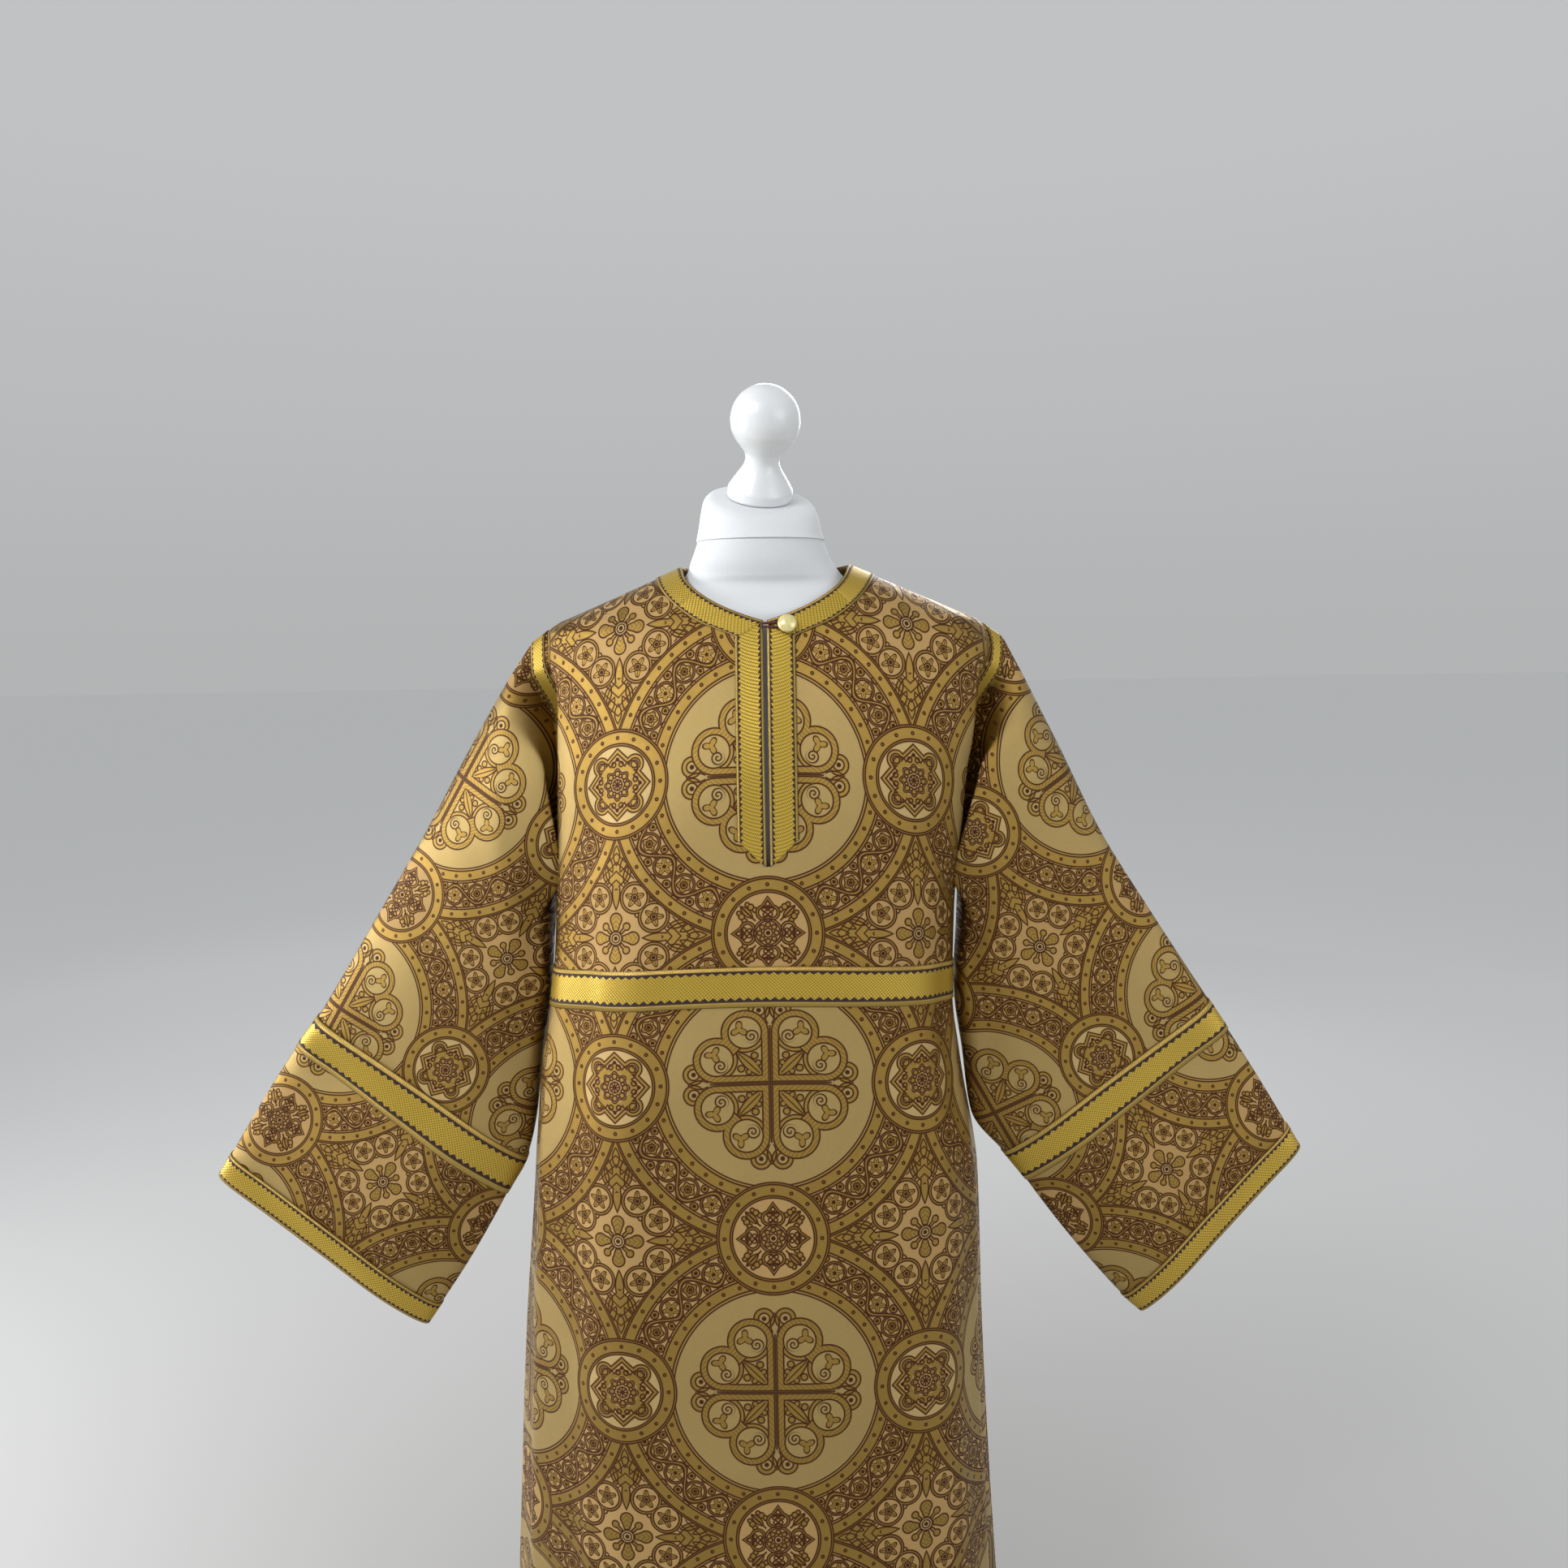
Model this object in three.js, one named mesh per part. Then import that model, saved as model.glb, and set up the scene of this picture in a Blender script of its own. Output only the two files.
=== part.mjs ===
// A sticharion, the long wide-sleeved tunic of church vestments, worn by a limbless dress form.
// Millimetres, +Z up, front towards -Y, origin at the middle of the stand's foot on the floor.
// Each cloth piece is a thin wall laid on a smooth surface: the body is a bell of level sections from
// the neckline to the hem, and each sleeve is a flattened tube from the armhole to the cuff.
import * as THREE from "three";

// ---- Driving dimensions
const CLOTH = 1.6; // brocade wall
const BRAID = 1.0; // galloon braid sewn on the cloth
const SEAM_GAP = 0.3; // between neighbouring pieces
const RIM_DRAW = SEAM_GAP * 0.6; // how far each piece's rim is drawn in, more than half of the gap
const SEWN_ON = 0.4; // button and loop above the braid
const SLIT_HALF = 3; // half of the gap in the neck slit
const BRAID_NARROW = 28; // collar and slit braid
const SHOULDER_TIP_Z = 1452;
const UNDERARM_Z = 1200;
const ARMHOLE_STEPS = 10; // rows of the body between shoulder tip and underarm
const SKIRT_ROWS = 14; // rows between chest braid and hem
const HEM = { front: 112, back: 112, side: 104 };

// ---- Small tools
const range = (from, to) => Array.from({ length: to - from + 1 }, (_, i) => from + i);
// A smooth curve through the rows of a table, without overshoot: f(x) for one named column.
function curve(rows, xName, yName) {
  const sorted = [...rows].sort((a, b) => a[xName] - b[xName]);
  const x = sorted.map((r) => r[xName]);
  const y = sorted.map((r) => r[yName]);
  const slope = x.slice(1).map((v, i) => (y[i + 1] - y[i]) / (v - x[i]));
  const tangent = x.map((_, i) => {
    if (i === 0) return slope[0];
    if (i === x.length - 1) return slope[i - 1];
    const [before, after] = [slope[i - 1], slope[i]];
    return before * after <= 0 ? 0 : (2 * before * after) / (before + after);
  });
  return (at) => {
    const v = Math.min(Math.max(at, x[0]), x[x.length - 1]);
    let i = x.findIndex((e) => e > v) - 1;
    if (i < 0) i = x.length - 2;
    const h = x[i + 1] - x[i];
    const t = (v - x[i]) / h;
    const u = 1 - t;
    return (
      u * u * (1 + 2 * t) * y[i] +
      t * t * (3 - 2 * t) * y[i + 1] +
      h * t * u * (u * tangent[i] - t * tangent[i + 1])
    );
  };
}

const clamp01 = (t) => Math.min(Math.max(t, 0), 1);
const smooth = (t) => clamp01(t) ** 2 * (3 - 2 * clamp01(t));
const bump = (t) => Math.exp(-t * t);

// ---- The body's bell: one row for each level section
// left, right: reach to each side; front, back: depth; power: 2 is an ellipse, more is squarer.
const SECTIONS = [
  { z: 1512, left: 88, right: 88, front: 34, back: 42, power: 2.2 },
  { z: 1498, left: 121, right: 121, front: 52, back: 63, power: 2.25 },
  { z: 1480, left: 163, right: 163, front: 65, back: 76, power: 2.3 },
  { z: 1466, left: 196, right: 196, front: 73, back: 84, power: 2.3 },
  { z: 1455, left: 221, right: 221, front: 79, back: 88, power: 2.35 },
  { z: 1446, left: 230, right: 230, front: 83, back: 91, power: 2.4 },
  { z: 1428, left: 230.5, right: 235.5, front: 90, back: 95, power: 2.5 },
  { z: 1390, left: 229.5, right: 232.5, front: 101, back: 101, power: 2.6 },
  { z: 1340, left: 228.5, right: 225.5, front: 112, back: 105, power: 2.75 },
  { z: 1300, left: 227.5, right: 216.5, front: 118, back: 106, power: 2.8 },
  { z: 1250, left: 227.5, right: 208.5, front: 121, back: 104, power: 2.8 },
  { z: 1160, left: 229.5, right: 198.5, front: 123, back: 101, power: 2.8 },
  { z: 1071, left: 238.5, right: 195.5, front: 125, back: 104, power: 2.75 },
  { z: 978, left: 253.5, right: 206.5, front: 129, back: 112, power: 2.65 },
  { z: 844, left: 268.5, right: 227.5, front: 135, back: 124, power: 2.55 },
  { z: 668, left: 286.5, right: 233.5, front: 142, back: 138, power: 2.4 },
  { z: 485, left: 300, right: 243, front: 149, back: 150, power: 2.3 },
  { z: 349, left: 309.5, right: 252, front: 154, back: 158, power: 2.25 },
  { z: 90, left: 327, right: 269, front: 162, back: 170, power: 2.2 },
];
const section = Object.fromEntries(
  ["left", "right", "front", "back", "power"].map((n) => [n, curve(SECTIONS, "z", n)]),
);

// ---- Rows of the body, from the neckline down.
// weft 0 bends a row like the neckline, 1 like the hanging weft.
const armholeZ = (step) => {
  const middle = (SHOULDER_TIP_Z + UNDERARM_Z) / 2;
  return middle + (SHOULDER_TIP_Z - middle) * Math.cos((Math.PI * step) / ARMHOLE_STEPS);
};
const ARMHOLE_ROWS = [
  { front: 1390, back: 1414 },
  { front: 1370, back: 1392 },
  { front: 1349, back: 1370 },
  { front: 1327, back: 1347 },
  { front: 1305, back: 1324 },
  { front: 1283, back: 1300 },
  { front: 1262, back: 1276 },
  { front: 1241, back: 1252 },
  { front: 1215, back: 1228 },
  { front: 1200, back: 1207 },
  { front: 1185, back: 1188 },
];
const CHEST_FOOT = { front: 1074, back: 1072, side: 1045, weft: 1 };
const LEVELS = [
  { front: 1455, back: 1497, side: 1512, weft: 0 },
  { front: 1429, back: 1474, side: 1501, weft: 0 },
  { front: 1419, back: 1458, side: 1489.5, weft: 0.04 },
  { front: 1410, back: 1443, side: 1477.5, weft: 0.08 },
  { front: 1400, back: 1429, side: 1465, weft: 0.12 },
  ...ARMHOLE_ROWS.map((row, i) => ({ ...row, side: armholeZ(i), weft: 0.16 + 0.07 * i })),
  { front: 1150, back: 1150, side: 1144, weft: 0.94 },
  { front: 1115, back: 1113, side: 1088, weft: 1 },
  CHEST_FOOT,
  ...Array.from({ length: SKIRT_ROWS }, (_, i) => {
    const down = (i + 1) / SKIRT_ROWS;
    const at = (part) => CHEST_FOOT[part] + (HEM[part] - CHEST_FOOT[part]) * down;
    return { front: at("front"), back: at("back"), side: at("side"), weft: 1 };
  }),
].map((row, k) => ({ ...row, k }));
const NECK_ROW = 0;
const COLLAR_ROW = 1;
const TIP_ROW = 5;
const UNDERARM_ROW = TIP_ROW + ARMHOLE_STEPS;
const SLIT_POINT_ROW = 12; // where the slit braid's outer edge ends
const SLIT_ROW = 13; // foot of the slit
const CHEST_TOP_ROW = UNDERARM_ROW + 2;
const CHEST_FOOT_ROW = CHEST_TOP_ROW + 1;
const HEM_ROW = LEVELS.length - 1;
const level = Object.fromEntries(
  ["front", "back", "side", "weft"].map((n) => [n, curve(LEVELS, "k", n)]),
);

// Height of row k at the share w of the way from the middle (0) to the seam (1).
function rowZ(face, k, w) {
  const neckBend = Math.sin((Math.PI * w) / 2) ** 1.1;
  const bend = neckBend + (w * w - neckBend) * level.weft(k);
  return level[face](k) + (level.side(k) - level[face](k)) * bend;
}

// How far the armhole's edge lies ahead of the side line, along the section.
const ARMHOLE_CUT = { front: 36, back: 50 };
function armholeCut(face, z) {
  const t = clamp01((SHOULDER_TIP_Z - z) / (SHOULDER_TIP_Z - UNDERARM_Z));
  return ARMHOLE_CUT[face] * Math.sin(Math.PI * t) ** 0.5;
}

// A quarter of the section at z, as points with their distance from the middle.
const QUARTER_STEPS = 48;
function quarter(face, side, z) {
  const [half, depth, power] = [section[side](z), section[face](z), section.power(z)];
  const points = [];
  let run = 0;
  for (let i = 0; i <= QUARTER_STEPS; i++) {
    const angle = (Math.PI / 2) * (i / QUARTER_STEPS) ** 1.3;
    const x = half * Math.sin(angle) ** (2 / power);
    const y = depth * Math.max(Math.cos(angle), 0) ** (2 / power);
    if (i) run += Math.hypot(x - points[i - 1].x, y - points[i - 1].y);
    points.push({ x, y, run });
  }
  return points;
}
const reach = (face, z, points) => points[QUARTER_STEPS].run - armholeCut(face, z);

// ---- Folds of the body: outward (+) or inward (-) waves that run down the cloth.
// at and width are shares across, and a fold grows from the height "from" to the height "full".
const BODY_FOLDS = [
  { face: "front", at: -0.68, width: 0.1, depth: -5, from: 1400, full: 1250 },
  { face: "front", at: 0.74, width: 0.1, depth: -4, from: 1400, full: 1250 },
  { face: "front", at: -0.5, width: 0.12, depth: 4, from: 1120, full: 900 },
  { face: "front", at: -0.86, width: 0.07, depth: -8, from: 1040, full: 500 },
  { face: "front", at: 0.9, width: 0.06, depth: -12, from: 1060, full: 600 },
  { face: "front", at: 0.62, width: 0.14, depth: 5, from: 1000, full: 500 },
  { face: "back", at: -0.78, width: 0.09, depth: -13, from: 1100, full: 400 },
  { face: "back", at: -0.42, width: 0.12, depth: 9, from: 1150, full: 400 },
  { face: "back", at: -0.1, width: 0.11, depth: -14, from: 1200, full: 350 },
  { face: "back", at: 0.24, width: 0.12, depth: 10, from: 1150, full: 400 },
  { face: "back", at: 0.6, width: 0.1, depth: -13, from: 1150, full: 400 },
];
function foldOf(face, w, z) {
  const rows = BODY_FOLDS.filter((f) => f.face === face);
  const grown = (f) => smooth((f.from - z) / (f.from - f.full));
  return rows.reduce((sum, f) => sum + f.depth * bump((w - f.at) / f.width) * grown(f), 0);
}

// The body's surface: a point for a face, a row k and a signed share w across (-1 left seam, +1 right seam).
function bodyPoint(face, k, w) {
  const z = rowZ(face, k, Math.abs(w));
  const side = w < 0 ? "left" : "right";
  const points = quarter(face, side, z);
  const run = Math.abs(w) * reach(face, z, points);
  let i = points.findIndex((p) => p.run >= run);
  if (i < 1) i = 1;
  const [a, b] = [points[i - 1], points[i]];
  const t = (run - a.run) / (b.run - a.run);
  const [x, y] = [a.x + (b.x - a.x) * t, a.y + (b.y - a.y) * t];
  const [half, depth, power] = [section[side](z), section[face](z), section.power(z)];
  const out = new THREE.Vector2((x / half) ** (power - 1) / half, (y / depth) ** (power - 1) / depth);
  out.normalize().multiplyScalar(foldOf(face, w, z));
  const [toSide, toFace] = [side === "left" ? -1 : 1, face === "front" ? -1 : 1];
  return new THREE.Vector3(toSide * (x + out.x), toFace * (y + out.y), z);
}

// The share w at which the front's row k is a given distance from the middle, on one side.
function shareAt(k, distance, side) {
  let w = 0;
  for (let i = 0; i < 6; i++) {
    const z = rowZ("front", k, w);
    w = distance / reach("front", z, quarter("front", side, z));
  }
  return w;
}

// ---- Sleeves: one row for each ring. top and foot are its two folded edges, which lie at midY;
// front and back are how far the two layers stand off from there, and bow is how far they sag.
// Ring 0 is the armhole itself.
const RING_STEPS = 2 * ARMHOLE_STEPS;
const LEFT_RINGS = [
  { r: 1, topX: -250, topZ: 1434, footX: -243, footZ: 1176, midY: 0, front: 23, back: 40, bow: 0 },
  { r: 2, topX: -276, topZ: 1394, footX: -249, footZ: 1126, midY: -3, front: 50, back: 50, bow: 0 },
  { r: 3, topX: -316, topZ: 1328, footX: -255, footZ: 1058, midY: -6, front: 46, back: 48, bow: 0 },
  { r: 4, topX: -368, topZ: 1238, footX: -261, footZ: 990, midY: -10, front: 38, back: 42, bow: -1 },
  { r: 5, topX: -426, topZ: 1145, footX: -266, footZ: 922, midY: -13, front: 30, back: 36, bow: -2 },
  { r: 6, topX: -494, topZ: 1038, footX: -276, footZ: 874, midY: -17, front: 24, back: 32, bow: -4 },
  { r: 7, topX: -519, topZ: 1005, footX: -298, footZ: 831, midY: -18, front: 23, back: 31, bow: -4 },
  { r: 8, topX: -559, topZ: 946, footX: -341, footZ: 757, midY: -21, front: 22, back: 29, bow: -4 },
  { r: 9, topX: -597, topZ: 885, footX: -376, footZ: 705, midY: -24, front: 21, back: 28, bow: -5 },
  { r: 10, topX: -612, topZ: 861, footX: -392, footZ: 682, midY: -25, front: 20, back: 27, bow: -5 },
];
const RIGHT_RINGS = [
  { r: 1, topX: 252, topZ: 1433, footX: 216, footZ: 1176, midY: 0, front: 23, back: 40, bow: 0 },
  { r: 2, topX: 277, topZ: 1384, footX: 219, footZ: 1122, midY: -3, front: 50, back: 50, bow: 0 },
  { r: 3, topX: 312, topZ: 1315, footX: 220, footZ: 1052, midY: -6, front: 46, back: 48, bow: 0 },
  { r: 4, topX: 355, topZ: 1228, footX: 223, footZ: 980, midY: -10, front: 38, back: 42, bow: -1 },
  { r: 5, topX: 417, topZ: 1129, footX: 229, footZ: 915, midY: -13, front: 30, back: 36, bow: -2 },
  { r: 6, topX: 475, topZ: 1040, footX: 257, footZ: 871, midY: -17, front: 24, back: 32, bow: -4 },
  { r: 7, topX: 496, topZ: 1008, footX: 278, footZ: 838, midY: -18, front: 23, back: 31, bow: -4 },
  { r: 8, topX: 532, topZ: 951, footX: 330, footZ: 768, midY: -21, front: 22, back: 29, bow: -4 },
  { r: 9, topX: 563, topZ: 899, footX: 386, footZ: 703, midY: -24, front: 21, back: 28, bow: -5 },
  { r: 10, topX: 577, topZ: 875, footX: 407, footZ: 684, midY: -25, front: 20, back: 27, bow: -5 },
];
const ELBOW_BRAID = [6, 7]; // rings
const CUFF_BRAID = [9, 10];
const ARMHOLE_BRAID = [0.15, 0.5, 0.88];
const CUFF_RING = 10;
const SLEEVE_ROWS = [
  ...[0, ...ARMHOLE_BRAID, 1, 1.3, 1.6, 1.9, 2.2, 2.5, 3, 3.5, 4, 4.5, 5, 5.5],
  ...[6, 7, 7.5, 8, 8.5, 9, 10],
];
// The front layer laps over its armhole seam, towards the body, between two places on the way round.
const LAP = { reach: 30, ring: 1.9, width: 0.42, top: 0.3, foot: 0.64, ease: 0.13 };
const SLEEVE_POWER = 2.5;
const SLEEVE_FOLDS = [
  // at: share of the way round from top (0) by the front to foot (1) and by the back to top (2)
  { at: 0.42, width: 0.16, depth: 7, from: 0.8, full: 2.2, gone: 4.5 },
  { at: 0.72, width: 0.1, depth: -7, from: 1, full: 3, gone: 6 },
  { at: 0.3, width: 0.14, depth: -5, from: 4, full: 8, gone: 12 },
  { at: 0.62, width: 0.14, depth: 6, from: 4, full: 8, gone: 12 },
  { at: 1.35, width: 0.14, depth: -6, from: 3, full: 6, gone: 12 },
  { at: 1.68, width: 0.14, depth: 6, from: 2, full: 5, gone: 12 },
];

function armholePoint(side, turn) {
  // turn 0 is the shoulder tip, 1 the underarm by the front, 2 the tip again by the back
  const face = turn <= 1 ? "front" : "back";
  const step = (turn <= 1 ? turn : 2 - turn) * ARMHOLE_STEPS;
  return bodyPoint(face, TIP_ROW + step, side);
}

function sleeve(side, rings) {
  const names = ["topX", "topZ", "footX", "footZ", "midY", "front", "back", "bow"];
  const ring = Object.fromEntries(names.map((n) => [n, curve(rings, "r", n)]));
  return (r, turn) => {
    const v = Object.fromEntries(names.map((n) => [n, ring[n](Math.max(r, 1))]));
    const t = ((turn % 2) + 2) % 2;
    const angle = Math.PI * t;
    const [c, s] = [Math.cos(angle), Math.sin(angle)];
    const down = (1 - Math.sign(c) * Math.abs(c) ** (2 / SLEEVE_POWER)) / 2;
    const wave = SLEEVE_FOLDS.reduce((sum, f) => {
      const fading = 1 - smooth((r - f.full) / (f.gone - f.full));
      const grown = smooth((r - f.from) / (f.full - f.from)) * fading;
      return sum + f.depth * bump((t - f.at) / f.width) * grown;
    }, 0);
    const round = Math.sign(s) * Math.abs(s) ** (2 / SLEEVE_POWER);
    const y = v.midY - round * ((s > 0 ? v.front : v.back) + wave);
    const [dx, dz] = [v.footX - v.topX, v.footZ - v.topZ];
    const length = Math.hypot(dx, dz);
    const bow = v.bow * Math.sin(Math.PI * down);
    const lapped = smooth((t - LAP.top) / LAP.ease) * (1 - smooth((t - LAP.foot) / LAP.ease));
    const lap = LAP.reach * bump((r - LAP.ring) / LAP.width) * lapped;
    const flat = new THREE.Vector3(
      v.topX + dx * down + (side * -dz * bow) / length - side * lap,
      y,
      v.topZ + dz * down - (side * -dx * bow) / length,
    );
    return armholePoint(side, t).lerp(flat, clamp01(r));
  };
}

// ---- Surfaces as points, outward normals and faces
const STEP = 0.002; // of a row or a share, for normals
function outward(surface, r, s, facing) {
  const along = surface(r + STEP, s).sub(surface(r - STEP, s));
  const across = surface(r, s + STEP).sub(surface(r, s - STEP));
  return across.cross(along).multiplyScalar(facing).normalize();
}
const within = (v, low, high) => Math.min(Math.max(v, low + STEP), high - STEP);
const SLEEVES = {
  left: { side: -1, at: sleeve(-1, LEFT_RINGS) },
  right: { side: 1, at: sleeve(1, RIGHT_RINGS) },
};
const bodyNormal = (face, k, w) =>
  outward(
    (row, share) => bodyPoint(face, row, share),
    within(k, NECK_ROW, HEM_ROW),
    within(w, -1, 1),
    face === "front" ? -1 : 1,
  );
const sleeveNormal = ({ side, at }, r, turn) => outward(at, within(r, 0, CUFF_RING), turn, side);

// Along the armhole the body and the sleeve share one normal, halfway between their own.
function armholeNormal(side, turn) {
  const t = ((turn % 2) + 2) % 2;
  const k = TIP_ROW + Math.min(t, 2 - t) * ARMHOLE_STEPS;
  const seam = sleeveNormal(side < 0 ? SLEEVES.left : SLEEVES.right, 0, t);
  if (t <= 1) seam.add(bodyNormal("front", k, side));
  if (t >= 1 || t === 0) seam.add(bodyNormal("back", k, side));
  return seam.normalize();
}

// A grid over rows and columns. cell(i, j) says how a cell is cut: into two by one diagonal or the other,
// into one triangle without a corner, or not at all.
function patch(rows, columnsOf, pointAt, normalAt, cell = () => "quad-right") {
  const points = [];
  const normals = [];
  const index = rows.map((r) =>
    columnsOf(r).map((s) => {
      points.push(pointAt(r, s));
      normals.push(normalAt(r, s));
      return points.length - 1;
    }),
  );
  const faces = [];
  for (let i = 0; i < rows.length - 1; i++)
    for (let j = 0; j < index[0].length - 1; j++) {
      const [a, b] = [index[i][j], index[i][j + 1]];
      const [c, d] = [index[i + 1][j + 1], index[i + 1][j]];
      const cut = cell(i, j);
      if (cut === "none") continue;
      if (cut === "quad-right") faces.push([a, b, c], [a, c, d]);
      if (cut === "quad-left") faces.push([a, b, d], [b, c, d]);
      if (cut === "no-a") faces.push([b, c, d]);
      if (cut === "no-b") faces.push([a, c, d]);
      if (cut === "no-c") faces.push([a, b, d]);
      if (cut === "no-d") faces.push([a, b, c]);
    }
  return { points, normals, faces };
}

// Closes a tube: the last column becomes the first one.
function closed(p, columns) {
  const last = (i) => (i % columns === columns - 1 ? i - columns + 1 : i);
  return { ...p, faces: p.faces.map((f) => f.map(last)) };
}

// A closed wall over a patch, from one distance to another off its surface, drawn in from its own edges.
function wall({ points, normals, faces }, from, to) {
  const edges = new Map();
  faces.forEach((f) =>
    f.forEach((a, i) => {
      const b = f[(i + 1) % 3];
      const back = `${b},${a}`;
      if (edges.has(back)) edges.delete(back);
      else edges.set(`${a},${b}`, [a, b]);
    }),
  );
  const rim = [...edges.values()];
  const inward = new Map();
  rim.forEach(([a, b]) => {
    const along = points[b].clone().sub(points[a]).normalize();
    [a, b].forEach((v) => {
      const inside = normals[v].clone().cross(along).normalize();
      inward.set(v, (inward.get(v) || new THREE.Vector3()).add(inside));
    });
  });
  const facing = faces.reduce((sum, [a, b, c]) => {
    const n = points[b].clone().sub(points[a]).cross(points[c].clone().sub(points[a]));
    return sum + n.dot(normals[a]);
  }, 0);
  const turn = facing > 0 ? 1 : -1;
  const placed = points.map((p, i) => {
    if (!inward.has(i)) return p;
    return p.clone().addScaledVector(inward.get(i).normalize(), turn * RIM_DRAW);
  });
  const at = (i, off) => placed[i].clone().addScaledVector(normals[i], off);
  const corners = [];
  const add = (a, b, c) => (turn > 0 ? corners.push(a, b, c) : corners.push(a, c, b));
  faces.forEach(([a, b, c]) => {
    add(at(a, to), at(b, to), at(c, to));
    add(at(a, from), at(c, from), at(b, from));
  });
  // Neighbours cut a twisted rim along the same diagonal, from the upper end's outside.
  rim.forEach(([a, b]) => {
    const upper = points[a].z > points[b].z;
    const [fromA, fromB] = [at(a, from), at(b, from)];
    add(at(a, to), fromA, upper ? fromB : at(b, to));
    add(at(b, to), upper ? at(a, to) : fromA, fromB);
  });
  return new THREE.BufferGeometry().setFromPoints(corners);
}

// ---- Materials
const finish = (color, roughness, metalness = 0) =>
  new THREE.MeshStandardMaterial({ color, roughness, metalness });
const BROCADE = finish(0xa8804a, 0.5, 0.2);
const GALLOON = finish(0xd2aa28, 0.4, 0.3);
const FORM_WHITE = finish(0xe9eaea, 0.8);
const KNOB_WHITE = finish(0xe4e6e6, 0.35);
const STAND_METAL = finish(0xd8d8d6, 0.4, 0.2);
const BUTTON_PEARL = finish(0xe3d27c, 0.3, 0.1);
const CORD_MAROON = finish(0x3a1018, 0.7);

const vestment = new THREE.Group();
const dressForm = new THREE.Group();
const whole = new THREE.Group();
whole.add(vestment, dressForm);
function piece(group, name, geometry, material) {
  const mesh = new THREE.Mesh(geometry, material);
  mesh.name = name;
  group.add(mesh);
  return mesh;
}

// ---- Front and back
const ROWS = range(NECK_ROW, HEM_ROW);
// From the slit braid's edge to the seam.
const FRONT_SHARES = [0.09, 0.2, 0.32, 0.44, 0.56, 0.67, 0.78, 0.89, 1];
const BRAID_EDGE = SLIT_HALF + BRAID_NARROW;
function frontHalf(k, side) {
  const braid = shareAt(k, BRAID_EDGE, side);
  return [shareAt(k, SLIT_HALF, side), braid, ...FRONT_SHARES.map((f) => braid + (1 - braid) * f)];
}
const leftColumns = (k) => frontHalf(k, "left").map((w) => -w);
const rightColumns = (k) => frontHalf(k, "right");
const frontColumns = (k) => [...leftColumns(k).reverse(), ...rightColumns(k)];
const FRONT_HALF_COLUMNS = FRONT_SHARES.length + 2;
const MIDDLE_CELL = FRONT_HALF_COLUMNS - 1; // the cell between the two edges of the slit
const BACK_COLUMNS = range(-9, 9).map((i) => i / 9);

const facePoint = (face) => (k, w) => bodyPoint(face, k, w);
const faceNormal = (face) => (k, w) => {
  const onArmhole = Math.abs(w) === 1 && k >= TIP_ROW && k <= UNDERARM_ROW;
  if (!onArmhole) return bodyNormal(face, k, w);
  const turn = (k - TIP_ROW) / ARMHOLE_STEPS;
  return armholeNormal(w, face === "front" ? turn : 2 - turn);
};
const cutByHalf = (j) => (j < MIDDLE_CELL ? "quad-left" : "quad-right");
const front = patch(ROWS, frontColumns, facePoint("front"), faceNormal("front"), (i, j) =>
  j === MIDDLE_CELL && i < SLIT_ROW ? "none" : cutByHalf(j),
);
const back = patch(ROWS, () => BACK_COLUMNS, facePoint("back"), faceNormal("back"));
piece(vestment, "front_panel", wall(front, -CLOTH, 0), BROCADE);
piece(vestment, "back_panel", wall(back, -CLOTH, 0), BROCADE);

// ---- Braid on the body, on the body's own points
const braidOn = (p) => wall(p, SEAM_GAP, SEAM_GAP + BRAID);
function frontBraid(fromRow, toRow, cell) {
  const rows = range(fromRow, toRow);
  return patch(rows, frontColumns, facePoint("front"), faceNormal("front"), cell);
}
const JOIN_CELLS = 4; // collar cells between the slit's mitre and the join with the back length
const leftHalf = (j) => FRONT_HALF_COLUMNS - 2 - j; // 0 is the cell beside the slit
const rightHalf = (j) => j - FRONT_HALF_COLUMNS;

const chestFront = frontBraid(CHEST_TOP_ROW, CHEST_FOOT_ROW, (i, j) => cutByHalf(j));
piece(vestment, "chest_braid_front", braidOn(chestFront), GALLOON);
piece(
  vestment,
  "chest_braid_back",
  braidOn(
    patch([CHEST_TOP_ROW, CHEST_FOOT_ROW], () => BACK_COLUMNS, facePoint("back"), faceNormal("back")),
  ),
  GALLOON,
);
[
  { name: "left", half: leftHalf, quad: "quad-left" },
  { name: "right", half: rightHalf, quad: "quad-right" },
].forEach(({ name, half, quad }) => {
  const isLeft = name === "left";
  const collar = frontBraid(NECK_ROW, COLLAR_ROW, (i, j) => {
    if (half(j) === 0) return isLeft ? "no-c" : "no-d";
    return half(j) > 0 && half(j) < JOIN_CELLS ? quad : "none";
  });
  const slit = frontBraid(NECK_ROW, SLIT_ROW, (i, j) => {
    if (half(j) !== 0) return "none";
    if (i === NECK_ROW) return isLeft ? "no-a" : "no-b";
    if (i === SLIT_POINT_ROW) return isLeft ? "no-d" : "no-c";
    return quad;
  });
  piece(vestment, `collar_braid_${name}`, braidOn(collar), GALLOON);
  piece(vestment, `slit_braid_${name}`, braidOn(slit), GALLOON);
});

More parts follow.
